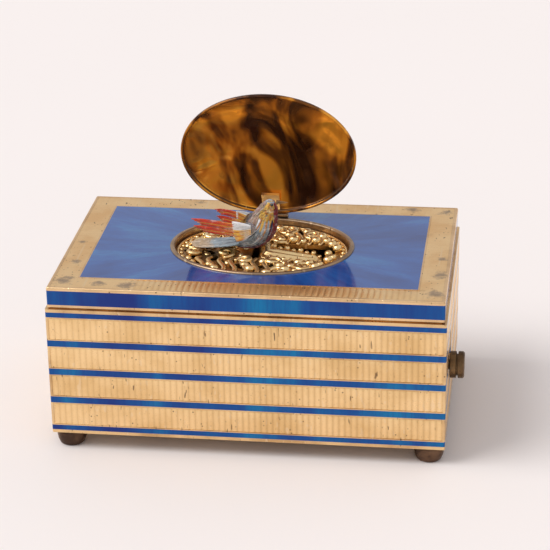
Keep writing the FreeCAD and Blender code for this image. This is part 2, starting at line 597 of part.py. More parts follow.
def make_lid():
    """The oval lid, built closed and turned up about its hinge."""
    hinge = hinge_point()
    pose = Placement(Vector(), Rotation(Vector(1, 0, 0), -size("lid_open")), hinge)
    rim = oval("lid_rim_block", f"{LID_LONG} / 2", f"{LID_SHORT} / 2", "lid_rim", LID_BASE)
    dome = cap("lid_dome_block", f"{LID_LONG} / 2", f"{LID_SHORT} / 2",
               "lid_dome", f"{LID_BASE} + lid_rim")
    hollow_rim = oval("lid_hollow_rim", f"{LID_LONG} / 2 - lid_skin", f"{LID_SHORT} / 2 - lid_skin",
                      "lid_rim + 1", f"{LID_BASE} - 1")
    hollow = cap("lid_hollow", f"{LID_LONG} / 2 - lid_skin", f"{LID_SHORT} / 2 - lid_skin",
                 "lid_dome - lid_skin", f"{LID_BASE} + lid_rim")
    shell = cut("lid_metal", fuse("lid_outer", rim, dome), hollow_rim, hollow)
    inset = oval("lid_enamel_outline", f"{LID_LONG} / 2 - lid_border",
                 f"{LID_SHORT} / 2 - lid_border", "12",
                 LID_BASE)
    under = doc.addObject("Part::Ellipsoid", "lid_enamel_under")
    share = "sqrt(1 - (1 - lid_dome / 12)^2)"
    bind(under, Radius1="12 - lid_enamel_skin", Radius2=f"({LID_LONG} / 2) / {share} - lid_enamel_skin",
         Radius3=f"({LID_SHORT} / 2) / {share} - lid_enamel_skin")
    place(under, "oval_shift", 0, f"{LID_BASE} + lid_rim + lid_dome - 12")
    enamel = cut("lid_enamel_body", common("lid_enamel_cap", dome, inset), under)
    middle = f"{LID_SHORT} / 2 + hinge_back"
    axis_up = f"{LID_BASE} + hinge_radius + 0.02"
    knuckle = rod("lid_knuckle", "hinge_radius", "hinge_knuckle",
                  "oval_shift - hinge_knuckle / 2", middle,
                  axis_up, "X")
    pin_hole = rod("lid_pin_hole", "pin_radius", 8, "oval_shift - 4", middle, axis_up, "X")
    tongue = box("lid_tongue", "hinge_knuckle", "hinge_back + lid_skin + 0.2", "0.55", "oval_shift",
                 f"{LID_SHORT} / 2 + hinge_back / 2 - lid_skin / 2", f"{axis_up} - 0.2")
    plate = box("bracket_plate", 4.7, 4.9, 0.6, "oval_shift", f"{LID_SHORT} / 2 - lid_skin - 2.25",
                f"{LID_BASE} + 0.5")
    lip = box("bracket_lip", 4.7, 0.9, 1.1, "oval_shift", f"{LID_SHORT} / 2 - lid_skin - 4.7",
              f"{LID_BASE} + 0.1")
    bracket = cut("bracket_body", fuse("bracket_whole", knuckle, tongue, plate, lip), pin_hole)
    window = box("bracket_window", 4.8, "lid_skin + 1.4",
                 1.2, "oval_shift", f"{LID_SHORT} / 2 - lid_skin / 2",
                 f"{LID_BASE} + 0.2")
    node("lid_shell", cut("lid_body", shell, enamel, fuse("lid_cutters", window, bracket)), pose=pose)
    node("lid_enamel", enamel, pose=pose)
    node("lid_bracket", bracket, pose=pose)
    pin = rod("lid_pin_rod", "pin_radius", "3 * hinge_knuckle + 0.6",
              "oval_shift - (3 * hinge_knuckle + 0.6) / 2",
              middle, axis_up, "X")
    node("lid_hinge_pin", pin, pose=pose)
    knuckles = []
    for side in (-1, 1):
        name = f"fixed_knuckle_{'left' if side < 0 else 'right'}"
        start = f"oval_shift + {side} * (hinge_knuckle + 0.08) - hinge_knuckle / 2"
        barrel = rod(name + "_barrel", "hinge_radius", "hinge_knuckle", start, middle, axis_up, "X")
        foot = box(name + "_foot", "hinge_knuckle", "1.5", f"{axis_up} - {TOP}",
                   f"oval_shift + {side} * (hinge_knuckle + 0.08)",
                   f"{middle} + 0.9", TOP)
        hole = rod(name + "_hole", "pin_radius + run_gap", "hinge_knuckle + 1", f"{start} - 0.5", middle,
                   axis_up, "X")
        ring = oval(name + "_clear", "oval_long / 2", "oval_short / 2", "bezel_rise", TOP)
        knuckles.append(cut(name, fuse(name + "_whole", barrel, foot), hole, ring))
    node("lid_hinge_knuckles", *knuckles)


# ---------------------------------------------------------------------------------------------- bird


def make_carriage():
    """The rocking carriage: an axle, a hub for the bird's post and the leaf that closes the slot."""
    axle = rod("axle_rod", "axle_radius", "2 * slot_half + 2.2",
               "axle_left", "-slot_half - 1.1", AXLE_UP, "Y")
    node("carriage_axle", axle)
    hub = rod("carriage_hub", "axle_radius + 0.8", "2 * leaf_half",
              "axle_left", "-leaf_half", AXLE_UP, "Y")
    socket = rod("carriage_socket", "post_radius + 0.9",
                 3.2, "axle_left + post_offset", 0, f"{AXLE_UP} - 1.3")
    leaf = doc.addObject("Part::Box", "leaf_plate")
    bind(leaf, Length="leaf_length", Width="2 * leaf_half", Height="0.8")
    leaf.Placement = Placement(Vector(), Rotation(Vector(0, 1, 0), size("leaf_tilt")))
    place(leaf, "axle_left", "-leaf_half", f"{AXLE_UP} + 0.7")
    ridges = []
    for k, across in enumerate((-2.2, 0, 2.2)):
        ridge = doc.addObject("Part::Cylinder", f"leaf_ridge_{k}")
        bind(ridge, Radius=0.6, Height="leaf_length - 4.2")
        ridge.Placement = Placement(Vector(), Rotation(Vector(0, 1, 0), 90 + size("leaf_tilt")))
        place(ridge, "axle_left + 3.4", across, f"{AXLE_UP} + 0.7 - 3.4 * sin(leaf_tilt * 1deg) + 0.75")
        ridges.append(ridge)
    hole = rod("carriage_axle_hole", "axle_radius", "4 * slot_half",
               "axle_left", "-2 * slot_half", AXLE_UP, "Y")
    post_hole = rod("carriage_post_hole", "post_radius + run_gap", 9, "axle_left + post_offset", 0,
                    f"{AXLE_UP} + 0.55")
    solid = fuse("carriage_whole", hub, socket, leaf, *ridges)
    node("bird_carriage", cut("carriage_body", solid, hole, post_hole))


BIRD = {
    "torso": (-1.0, 8.8),
    "head": (2.2, 15.7),
    "beak": (4.1, 16.2),
    "shoulder": (-3.0, 10.0),
    "rump": (-5.9, 5.4),
}


def bird_place(key):
    """A point of the bird, along and up from its axle, as two expressions."""
    along, up = BIRD[key]
    return f"(axle_left + {along})", f"({AXLE_UP} + {up})"


def make_bird():
    """The bird: body with head, beak in two halves, two wings on a wire yoke, and a tail."""
    x, z = bird_place("torso")
    torso = doc.addObject("Part::Ellipsoid", "torso_egg")
    bind(torso, Radius1="torso_long", Radius2="torso_deep", Radius3="torso_wide")
    torso.Placement = Placement(Vector(), Rotation(Vector(0, 1, 0), size("torso_lean")))
    place(torso, x, 0, z)
    head_x, head_z = bird_place("head")
    head = doc.addObject("Part::Sphere", "head_ball")
    bind(head, Radius="head_radius")
    place(head, head_x, 0, head_z)
    neck = doc.addObject("Part::Ellipsoid", "neck_egg")
    bind(neck, Radius1="3.6", Radius2="2.3", Radius3="2.2")
    neck.Placement = Placement(Vector(), Rotation(Vector(0, 1, 0), 18))
    place(neck, f"{head_x} - 0.9", 0, f"{head_z} - 2.7")
    post = rod("post_rod", "post_radius", 6.2, "axle_left + post_offset", 0, f"{AXLE_UP} + 0.6")
    shoulder_x, shoulder_z = bird_place("shoulder")
    yoke_hole = rod("yoke_hole", 0.36, 12, shoulder_x, -6, shoulder_z, "Y")
    beak_x, beak_z = bird_place("beak")
    mouth = box("mouth_seat", 2.0, 1.6, 1.3, f"{beak_x} + 0.6", 0, f"{beak_z} - 1.3")
    jaw_room = rod("jaw_pin_room", 0.3, 1.3, beak_x, -0.65, beak_z, "Y")
    jaw_pin = rod("jaw_pin", 0.25, 1.1, beak_x, -0.55, beak_z, "Y")
    cone = doc.addObject("Part::Cone", "beak_cone")
    bind(cone, Radius1=0.62, Radius2=0.08, Height=3.0)
    cone.Placement = Placement(Vector(), Rotation(Vector(0, 1, 0), 90))
    place(cone, f"{beak_x} - 0.15", 0, beak_z)
    upper_half = box("upper_beak_half", 4, 2, 1, f"{beak_x} + 1", 0, beak_z)
    lower_half = box("lower_beak_half", 4, 2, 1, f"{beak_x} + 1", 0, f"{beak_z} - 1.03")
    plumage = fuse("bird_whole", torso, head, neck)
    disc_room = [rod(f"yoke_room_{side}", 1.8, 1.0, shoulder_x, y, shoulder_z, "Y")
                 for side, y in (("left", "torso_wide - 0.15"), ("right", "-torso_wide - 0.85"))]
    node("bird_body", cut("bird_trimmed", plumage, post, yoke_hole, mouth, cone, jaw_room, *disc_room))
    node("bird_post", post)
    node("bird_upper_beak", cut("upper_beak_body", common("upper_beak_solid", cone, upper_half),
                                jaw_room))
    node("bird_lower_beak", fuse("lower_beak_body", common("lower_beak_solid", cone, lower_half),
                                 jaw_pin))
    reach = "torso_wide + 0.2 + wing_skin"
    wire = rod("yoke_wire", 0.3, f"2 * ({reach})", shoulder_x, f"-({reach})", shoulder_z, "Y")
    discs = [rod(f"yoke_disc_{side}", 1.7, 0.25, shoulder_x, y, shoulder_z, "Y")
             for side, y in (("left", "torso_wide - 0.1"), ("right", "-torso_wide - 0.15"))]
    node("wing_yoke", fuse("yoke_body", wire, *discs))
    for name, side in (("bird_wing_left", 1), ("bird_wing_right", -1)):
        node(name, wing_blade(name, side, shoulder_x, shoulder_z))
    rump_x, rump_z = bird_place("rump")
    root = rod("tail_root", 0.5, 3.0, rump_x, -1.5, rump_z, "Y")
    fan = shaped("tail_fan", tail_solid())
    place(fan, rump_x, 0, rump_z)
    node("bird_tail", fuse("tail_body", root, fan))


def wing_blade(name, side, shoulder_x, shoulder_z):
    """A thin upright blade beside the body, from the shoulder back and up."""
    length, width = size("wing_length"), size("wing_width")
    outline = [(0.8, -0.9), (0.9, 0.6), (-0.35 * length, width - 0.9), (-0.8 * length, width - 1.2),
               (-length, 0.2), (-0.6 * length, -0.9)]
    points = [Vector(x, 0, z) for x, z in outline]
    face = Part.Face(Part.makePolygon(points + points[:1]))
    blade = face.extrude(Vector(0, side * size("wing_skin"), 0))
    blade.rotate(Vector(), Vector(0, 1, 0), size("wing_rise"))
    obj = place(shaped(name + "_blade", blade), shoulder_x, f"{side} * (torso_wide + 0.2)", shoulder_z)
    return cut(name + "_body", obj, rod(name + "_bore", "0.3 + run_gap",
                                        12, shoulder_x, -6, shoulder_z, "Y"))


def tail_solid():
    """A thin tapered fan that points back from the rump."""
    length, half, skin = size("tail_length"), size("tail_half"), size("tail_skin")
    outline = [(-0.2, 1.2), (-0.55 * length, half * 0.85), (-0.92 * length, half), (-length, half * 0.55)]
    points = [Vector(x, y, -skin / 2) for x, y in outline]
    points += [Vector(x, -y, -skin / 2) for x, y in reversed(outline)]
    fan = Part.Face(Part.makePolygon(points + points[:1])).extrude(Vector(0, 0, skin))
    fan.rotate(Vector(), Vector(0, 1, 0), -size("tail_droop"))
    return fan


# -------------------------------------------------------------------------------------------- start


def make_start():
    """The start knob, the slide that it moves, the slide's guides and its return spring."""
    knob = turned("knob_body", [
        ("0", "-case_wall - 1.5"), ("stem_radius", "-case_wall - 1.5"), ("stem_radius", "0.25"),
        ("knob_radius - 0.25", "0.25"), ("knob_radius", "0.5"), ("knob_radius", "knob_reach * 0.47"),
        ("knob_radius * 0.8", "knob_reach * 0.5"), ("knob_radius * 0.8", "knob_reach * 0.58"),
        ("knob_radius", "knob_reach * 0.61"), ("knob_radius", "knob_reach - 0.35"),
        ("knob_radius - 0.35", "knob_reach"), ("0", "knob_reach")])
    turn = Rotation(Vector(0, 1, 0), 90)
    node("start_knob", placed("knob_copy", knob, "case_length / 2", KNOB_FRONT, KNOB_UP, turn))
    inside = "(case_length / 2 - case_wall)"
    bar = box("slide_bar", 1.2, 22, 6, f"{inside} - 0.9", f"{KNOB_FRONT} + 7", f"{KNOB_UP} - 3")
    hole = rod("slide_hole", "stem_radius", 6, f"{inside} - 3", KNOB_FRONT, KNOB_UP, "X")
    hook = box("slide_hook", 4.4, 1.4, 3, f"{inside} - 3.6", f"{KNOB_FRONT} + 16", f"{KNOB_UP} - 1.5")
    node("start_slide", cut("slide_body", fuse("slide_whole", bar, hook), hole))
    rails = [box(f"slide_rail_{i}", 1.8, 30, 1.2, f"{inside} - 0.9", f"{KNOB_FRONT} + 10.5",
                 f"{KNOB_UP} + {level}") for i, level in enumerate((3.1, -4.3))]
    stop = box("spring_stop", 1.8, 1.0, 5.0, f"{inside} - 0.9",
               f"{KNOB_FRONT} + 31.4", f"{KNOB_UP} - 2.5")
    stay = box("spring_stay", 1.8, 6.4, 1.2, f"{inside} - 0.9",
               f"{KNOB_FRONT} + 28.7", f"{KNOB_UP} - 3.7")
    node("slide_guides", *rails, fuse("spring_stop_whole", stop, stay))
    coil = [rod(f"coil_{i}", 0.85, 0.55, f"{inside} - 0.9",
                f"{KNOB_FRONT} + 18.3 + {i * 1.05:.2f}", KNOB_UP, "Y")
            for i in range(12)]
    core = rod("coil_core", 0.45, 12.3, f"{inside} - 0.9", f"{KNOB_FRONT} + 18.2", KNOB_UP, "Y")
    node("slide_spring", fuse("spring_body", core, *coil))


# ------------------------------------------------------------------------------------------ movement


def polar(start, distance, degrees):
    """The point at a distance and an angle from another."""
    angle = math.radians(degrees)
    return Vector(start.x + distance * math.cos(angle), start.y + distance * math.sin(angle), 0)


def gap_phase(direction, teeth):
    """The phase that puts a gap between two teeth on a direction, in degrees."""
    return math.radians(direction) + math.pi / teeth


def arbor(name, spot, low, high):
    """An arbor with a thin pivot at each end that runs in the two plates."""
    body = rod(name + "_stem", "arbor_radius", f"{high} - ({low})", spot.x, spot.y, low)
    pivots = rod(name + "_pivots", "pivot_radius", f"{BRIDGE_TOP} - {FLOOR} - 0.4",
                 spot.x, spot.y, f"{FLOOR} + 0.2")
    return fuse(name, body, pivots)


def make_train():
    """The going barrel, the cam arbor, the crank arbor and the fly, in mesh from wheel to pinion."""
    module = size("gear_module")
    teeth = {k: int(size(k + "_teeth")) for k in
             ("barrel", "cam_pinion", "cam_wheel", "crank_pinion", "crank_wheel", "fly_pinion")}
    to_cam, to_crank, to_fly = -12.0, 10.0, 20.0
    barrel = Vector(size("barrel_left"), size("barrel_inset") - size("case_depth") / 2, 0)
    cam = polar(barrel, module * (teeth["barrel"] + teeth["cam_pinion"]) / 2, to_cam)
    crank = polar(cam, module * (teeth["cam_wheel"] + teeth["crank_pinion"]) / 2, to_crank)
    fly = polar(crank, module * (teeth["crank_wheel"] + teeth["fly_pinion"]) / 2, to_fly)
    floor, bridge = number(PLATE_TOP), number(BRIDGE)
    shaft, thick = size("arbor_radius"), 1.3

    wheel_low = floor + 1.2
    great = gear(teeth["barrel"], math.radians(to_cam), thick, size("drum_radius") - 2, wheel_low, barrel)
    drum_low = f"{PLATE_TOP} + 1.2"
    drum = rod("drum_block", "drum_radius", f"drum_height + {thick}", barrel.x, barrel.y, drum_low)
    room = rod("drum_room", "drum_radius - 0.9", "drum_height",
               barrel.x, barrel.y, f"{drum_low} + {thick}")
    eye = rod("drum_eye", "barrel_arbor_radius + run_gap", 30, barrel.x, barrel.y, FLOOR)
    node("mainspring_barrel", cut("drum_body", fuse("drum_whole", drum, shaped("great_wheel", great)),
                                  room, eye))
    lid = rod("drum_lid", "drum_radius", "0.6", barrel.x, barrel.y, f"{drum_low} + {thick} + drum_height")
    eye_top = rod("drum_lid_eye", "barrel_arbor_radius + run_gap", 30, barrel.x, barrel.y, FLOOR)
    node("barrel_cover", cut("drum_cover", lid, eye_top))
    node("mainspring", shaped("spring_coil", mainspring(barrel, wheel_low + thick + 0.5)))

    top = f"{BRIDGE_TOP} + 2.2"
    stem = rod("winding_stem", "barrel_arbor_radius", f"{top} - {FLOOR} + 2.4",
               barrel.x, barrel.y, f"{FLOOR} - 2.4")
    square = box("winding_square", "2 * barrel_arbor_radius + 1", "2 * barrel_arbor_radius + 1", "2.4",
                 barrel.x, barrel.y, f"{FLOOR} - 2.4")
    socket = box("winding_socket", "barrel_arbor_radius * 1.4", "barrel_arbor_radius * 1.4", "2.4",
                 barrel.x, barrel.y, f"{FLOOR} - 2.4")
    node("barrel_arbor", cut("winding_body", stem, cut("winding_flats", square, socket)))
    hub = rod("key_hub", "barrel_arbor_radius + 1.1", 2.2, barrel.x, barrel.y, f"{FLOOR} - 2.5")
    wings = [cut(f"key_wing_{i}", rod(f"key_ring_{i}", 4.2,
                                      1.3, barrel.x, barrel.y + side * 6.4, f"{FLOOR} - 2.05"),
                 rod(f"key_ring_hole_{i}", 2.4, 3, barrel.x, barrel.y + side * 6.4, f"{FLOOR} - 3"))
             for i, side in enumerate((-1, 1))]
    key_hole = box("key_square", "barrel_arbor_radius * 1.4", "barrel_arbor_radius * 1.4", "6",
                   barrel.x, barrel.y, f"{FLOOR} - 4")
    node("winding_key", cut("key_body", fuse("key_whole", hub, *wings), key_hole))
    node("ratchet_wheel", shaped("ratchet", ratchet(barrel, number(BRIDGE_TOP) + 0.3)))
    pawl_spot = polar(barrel, 9.6, 155.0)
    node("click", shaped("click_body", click(barrel, pawl_spot, number(BRIDGE_TOP) + 0.3)))

    cam_arbor = arbor("cam_arbor_body", cam, f"{PLATE_TOP} + 0.3", f"{BRIDGE} - 0.3")
    pinion = gear(teeth["cam_pinion"], gap_phase(to_cam + 180, teeth["cam_pinion"]),
                  2.0, shaft, floor + 0.9, cam)
    node("cam_arbor", fuse("cam_arbor_whole", cam_arbor, shaped("cam_pinion", pinion)))
    wheel = gear(teeth["cam_wheel"], math.radians(to_crank), 1.2, shaft, bridge - 2.2, cam)
    node("cam_wheel", shaped("cam_wheel_body", spoked(wheel, cam, module * teeth["cam_wheel"] / 2)))
    node("song_cams", *[shaped(f"song_cam_{k}", song_cam(cam, floor + 3.5 + 1.65 * k, k))
                        for k in range(int(size("cam_count")))])

    crank_arbor = arbor("crank_arbor_body", crank, f"{PLATE_TOP} + 0.3", f"{BRIDGE} - 0.3")
    pinion = gear(teeth["crank_pinion"], gap_phase(to_crank + 180, teeth["crank_pinion"]), 1.8, shaft,
                  bridge - 2.5, crank)
    throw = rod("crank_throw", "throw_radius", 1.6, f"{crank.x} + throw_offset",
                crank.y, f"{PLATE_TOP} + 8")
    node("crank_arbor", fuse("crank_arbor_whole", crank_arbor, shaped("crank_pinion", pinion), throw))
    wheel = gear(teeth["crank_wheel"], math.radians(to_fly), 1.2, shaft, floor + 0.9, crank)
    node("crank_wheel", shaped("crank_wheel_body", spoked(wheel,
                                                          crank, module * teeth["crank_wheel"] / 2)))

    fly_arbor = arbor("fly_arbor_body", fly, f"{PLATE_TOP} + 0.3", f"{BRIDGE} - 0.3")
    pinion = gear(teeth["fly_pinion"], gap_phase(to_fly + 180, teeth["fly_pinion"]),
                  1.8, shaft, floor + 0.6, fly)
    node("fly_arbor", fuse("fly_arbor_whole", fly_arbor, shaped("fly_pinion", pinion)))
    vane = box("fly_vane", "2 * fly_radius", 0.5, 9, fly.x, fly.y, f"{PLATE_TOP} + 4.2")
    sleeve = rod("fly_sleeve", "arbor_radius + 0.6", 9, fly.x, fly.y, f"{PLATE_TOP} + 4.2")
    bore = rod("fly_sleeve_bore", "arbor_radius", 12, fly.x, fly.y, f"{PLATE_TOP} + 3")
    node("governor_fly", cut("fly_body", fuse("fly_whole", vane, sleeve), bore))
    return barrel, cam, crank, fly


def spoked(wheel, centre, radius):
    """A wheel with five round windows between its spokes."""
    for k in range(5):
        spot = polar(centre, radius * 0.55, 72.0 * k + 20)
        wheel = wheel.cut(Part.makeCylinder(radius * 0.24, 40, Vector(spot.x, spot.y, 0)))
    return wheel


def song_cam(centre, low, number_of):
    """One song cam: a disc whose edge rises and falls with the song."""
    points = []
    for k in range(72):
        angle = 2 * math.pi * k / 72
        wave = 0.5 + 0.25 * math.sin(3 * angle + number_of) + 0.25 * math.sin((5 + number_of) * angle)
        radius = size("cam_radius") - 1.3 * wave
        points.append(Vector(radius * math.cos(angle), radius * math.sin(angle), 0))
    disc = Part.Face(Part.makePolygon(points + points[:1])).extrude(Vector(0, 0, 1.2))
    disc = disc.cut(Part.makeCylinder(size("arbor_radius"), 1.2))
    disc.translate(Vector(centre.x, centre.y, low))
    return disc


def mainspring(centre, low):
    """The coiled mainspring: a flat strip wound from the arbor out to the drum's wall."""
    inner, outer = size("barrel_arbor_radius") + 0.6, size("drum_radius") - 1.3
    turns, steps, strip = 5, 24, 0.32
    count = turns * steps
    near, far = [], []
    for k in range(count + 1):
        angle = 2 * math.pi * k / steps
        radius = inner + (outer - inner) * k / count
        direction = Vector(math.cos(angle), math.sin(angle), 0)
        near.append(direction * (radius - strip / 2))
        far.append(direction * (radius + strip / 2))
    points = near + far[::-1]
    coil = Part.Face(Part.makePolygon(points + points[:1])).extrude(Vector(0, 0, size("drum_height") - 1.2))
    coil.translate(Vector(centre.x, centre.y, low))
    return coil


def ratchet(centre, low):
    """The ratchet wheel on the winding arbor, with saw teeth."""
    teeth, tip, root = 18, 5.6, 4.7
    points = []
    for k in range(teeth):
        angle = 2 * math.pi * k / teeth
        points.append(Vector(tip * math.cos(angle), tip * math.sin(angle), 0))
        points.append(Vector(root * math.cos(angle + 0.02), root * math.sin(angle + 0.02), 0))
    wheel = Part.Face(Part.makePolygon(points + points[:1])).extrude(Vector(0, 0, 1.4))
    wheel = wheel.cut(Part.makeCylinder(size("barrel_arbor_radius"), 1.4))
    wheel.translate(Vector(centre.x, centre.y, low))
    return wheel


def click(centre, spot, low):
    """The click beside the ratchet wheel: an eye on its stud and a tooth that points at the wheel."""
    eye = Part.makeCylinder(1.5, 1.4)
    toward = math.atan2(centre.y - spot.y, centre.x - spot.x)
    arm_points = [(0, 0.9), (3.0, 1.0), (3.6, 0.2), (3.0, -0.4), (0, -0.9)]
    points = [Vector(x, y, 0) for x, y in arm_points]
    arm = Part.Face(Part.makePolygon(points + points[:1])).extrude(Vector(0, 0, 1.4))
    whole = eye.fuse(arm).cut(Part.makeCylinder(0.7 + size("run_gap"), 1.4))
    whole.rotate(Vector(), Vector(0, 0, 1), math.degrees(toward))
    whole.translate(Vector(spot.x, spot.y, low))
    return whole


def make_bridge(spots):
    """The bridge plate over the train, its four pillars with their screws, and the click's stud."""
    barrel, cam, crank, fly = spots
    left, right = barrel.x - 13.8, fly.x + 7
    front, back = barrel.y - 14, barrel.y + 12.5
    plate = box("bridge_block", right - left, back - front, "bridge_thick", (left + right) / 2,
                (front + back) / 2, BRIDGE)
    corners = [(left + 3, front + 3), (right - 3, front + 3), (left + 3, back - 3), (right - 3, back - 3)]
    holes = [rod(f"bridge_pivot_{i}", "pivot_radius + run_gap", 4, p.x, p.y, f"{BRIDGE} - 1")
             for i, p in enumerate((cam, crank, fly))]
    holes.append(rod("bridge_barrel_hole", "barrel_arbor_radius + run_gap",
                     4, barrel.x, barrel.y, f"{BRIDGE} - 1"))
    holes += [rod(f"bridge_screw_hole_{i}", 0.85, 4, x, y, f"{BRIDGE} - 1") for i,
              (x, y) in enumerate(corners)]
    spot = polar(barrel, 9.6, 155.0)
    stud = rod("click_stud", 0.7, 2.3, spot.x, spot.y, f"{BRIDGE_TOP} - 0.2")
    node("bridge_plate", fuse("bridge_whole", cut("bridge_body", plate, *holes), stud))
    pillars, screws = [], []
    for i, (x, y) in enumerate(corners):
        post = rod(f"pillar_{i}_post", 1.7, "bridge_height", x, y, PLATE_TOP)
        pillars.append(cut(f"pillar_{i}", post, rod(f"pillar_{i}_bore", 0.8, 6, x, y, f"{BRIDGE} - 5")))
        head = rod(f"plate_screw_{i}_head", 1.5, 0.8, x, y, BRIDGE_TOP)
        shank = rod(f"plate_screw_{i}_shank", 0.78, "bridge_thick + 4.5", x, y, f"{BRIDGE} - 4")
        slit = box(f"plate_screw_{i}_slit", 4, 0.35, 1, x, y, f"{BRIDGE_TOP} + 0.45")
        screws.append(cut(f"plate_screw_{i}", fuse(f"plate_screw_{i}_whole", head, shank), slit))
    node("movement_pillars", *pillars)
    node("plate_screws", *screws)


def make_bellows(crank):
    """The wedge bellows on the back wall's side, with the rod that the crank pushes it with."""
    hinge_x, rod_x = f"{crank.x} + bellows_length", f"{crank.x}"
    high = "bellows_tall"
    low = f"{PLATE_TOP}"
    middle = f"{crank.x} + bellows_length / 2"
    front = f"({BELLOWS_BACK} - 1 - bellows_wide)"
    fixed = box("bellows_fixed_plate", "bellows_length + 6",
                1.0, high, f"{middle} - 0.2", f"{BELLOWS_BACK} - 0.5", low)
    hinge_post = rod("bellows_hinge_post", 0.8, high, hinge_x, f"{front} + 0.5", low)
    cheek = box("bellows_cheek", 1.0, f"{BELLOWS_BACK} - ({front}) - 0.5 - 0.8", high, f"{hinge_x} + 1.4",
                f"({BELLOWS_BACK} + ({front}) + 0.5 - 0.8) / 2 + 0.4", low)
    tie = box("bellows_tie", 1.8, 1.0, high, f"{hinge_x} + 1.0", f"{front} + 0.5", low)
    node("bellows_base", fuse("bellows_base_body", fixed, hinge_post, cheek, tie))
    eye = rod("bellows_eye", 1.7, f"{high} - 1", hinge_x, f"{front} + 0.5", f"{low} + 0.8")
    board = box("bellows_plate", "bellows_length + 1", 1.0, f"{high} - 1", f"{middle} - 0.8",
                f"{front} + 0.5", f"{low} + 0.8")
    lug = box("bellows_lug", 2.6, 3.6, 1.0, rod_x, f"{front} - 1.6", f"{ROD_UP} + 1.05")
    peg = rod("bellows_peg", 0.6, 2.2, rod_x, f"{front} - 2.2", f"{ROD_UP} - 0.1")
    bore = rod("bellows_eye_bore", "0.8 + run_gap", "40", hinge_x, f"{front} + 0.5", f"{low} - 1")
    relief = box("bellows_relief", 2.4, 5, "40", f"{hinge_x} + 1.7", f"{front} + 0.5", f"{low} - 1")
    node("bellows_board", cut("bellows_board_body", fuse("bellows_board_whole", eye, board, lug, peg),
                              bore, relief))
    skin = box("bellows_skin", "bellows_length - 4", "bellows_wide - 1.6",
               f"{high} - 3", f"{middle} - 0.6",
               f"{BELLOWS_BACK} - 1 - (bellows_wide - 1.6) / 2 - 0.05", f"{low} + 1.8")
    node("bellows_leather", skin)
    strap = rod("rod_strap", "throw_radius + throw_offset + 2.5", 1.0, rod_x, crank.y, ROD_UP)
    bar = box("rod_bar", 1.6, f"({front} - 2.2) - ({crank.y}) - throw_radius - throw_offset - 2",
              1.0, rod_x,
              f"(({front} - 2.2) + ({crank.y}) + throw_radius + throw_offset + 2) / 2", ROD_UP)
    end = rod("rod_end", 1.4, 1.0, rod_x, f"{front} - 2.2", ROD_UP)
    window = rod("rod_window", "throw_radius + throw_offset + 1.65", 3, rod_x, crank.y, f"{ROD_UP} - 1")
    hole = rod("rod_hole", "0.6 + run_gap", 3, rod_x, f"{front} - 2.2", f"{ROD_UP} - 1")
    node("connecting_rod", cut("rod_body", fuse("rod_whole", strap, bar, end), window, hole))


def make_whistle(cam):
    """The air duct, the piston whistle and the lever that a song cam rocks."""
    start, across, up = "(-case_length / 2 + 6.5)", WHISTLE_BACK, f"({PLATE_TOP} + 7.4)"
    node("air_duct", box("duct_block", 38, 3.2, 2.0, f"{start} + 21", f"{across} + 4.2", PLATE_TOP))
    tube = rod("whistle_outer", "whistle_radius", "whistle_length", start, across, up, "X")
    bore = rod("whistle_hollow", "whistle_bore", "whistle_length", f"{start} + 4", across, up, "X")
    mouth = box("whistle_mouth", 3, 3, 3, f"{start} + 6.5", across, f"{up} + 1.6")
    node("whistle_tube", cut("whistle_body", tube, bore, mouth))
    foot = box("whistle_foot", 6, 5, "7.4 - whistle_radius + 1", f"{start} + 4", across, PLATE_TOP)
    saddle = rod("whistle_saddle", "whistle_radius", 40, f"{start} - 2", across, up, "X")
    node("whistle_bracket", cut("whistle_foot_body", foot, saddle))
    tip_x = cam.x + size("cam_radius") + 0.15
    head = rod("piston_head", "whistle_bore - run_gap", 6, f"{start} + 15", across, up, "X")
    stem = rod("piston_stem", 0.8, f"{tip_x} - 0.6 - ({start} + 20)", f"{start} + 20", across, up, "X")
    button = rod("piston_button", 1.2, 0.6, f"{tip_x} - 0.4 - 0.6", across, up, "X")
    node("whistle_piston", fuse("piston_body", head, stem, button))
    pin_x, pin_y = tip_x - 1.6, cam.y + size("lever_reach")
    bar = box("lever_bar", 1.6, f"{across} - ({cam.y}) + 1.6",
              1.0, f"{tip_x} + 0.8", f"({across} + ({cam.y})) / 2",
              f"{PLATE_TOP} + 6.9")
    boss = rod("lever_boss", 2.2, 1.0, pin_x, pin_y, f"{PLATE_TOP} + 6.9")
    neck = box("lever_neck", 2.4, 2.4, 1.0, f"{pin_x} + 1.2", pin_y, f"{PLATE_TOP} + 6.9")
    eye = rod("lever_eye", "0.8 + run_gap", 4, pin_x, pin_y, f"{PLATE_TOP} + 5.5")
    node("piston_lever", cut("lever_body", fuse("lever_whole", bar, boss, neck), eye))
    return rod("lever_pin", 0.8, 9.0, pin_x, pin_y, f"{PLATE_TOP} - 0.4")


def check_and_write():
    """Recomputes, stops on any failed object or bad shape, and writes one STEP file for each sub-part."""
    doc.recompute()
    for obj in doc.Objects:
        if any(word in obj.State for word in ("Invalid", "Error")):
            raise RuntimeError(f"{obj.Name} ({obj.Label}) failed: {obj.State}")
    os.makedirs("parts", exist_ok=True)
    for obj in NODES:
        shape = obj.Shape
        if shape.isNull() or not shape.isValid() or not shape.Solids:
            raise RuntimeError(f"{obj.Label} has no valid solid")
        if any(solid.Volume <= 0 for solid in shape.Solids):
            raise RuntimeError(f"{obj.Label} has a solid with no volume")
        shape.exportStep(f"parts/{obj.Label}.step")
    print(f"{len(NODES)} sub-parts written")


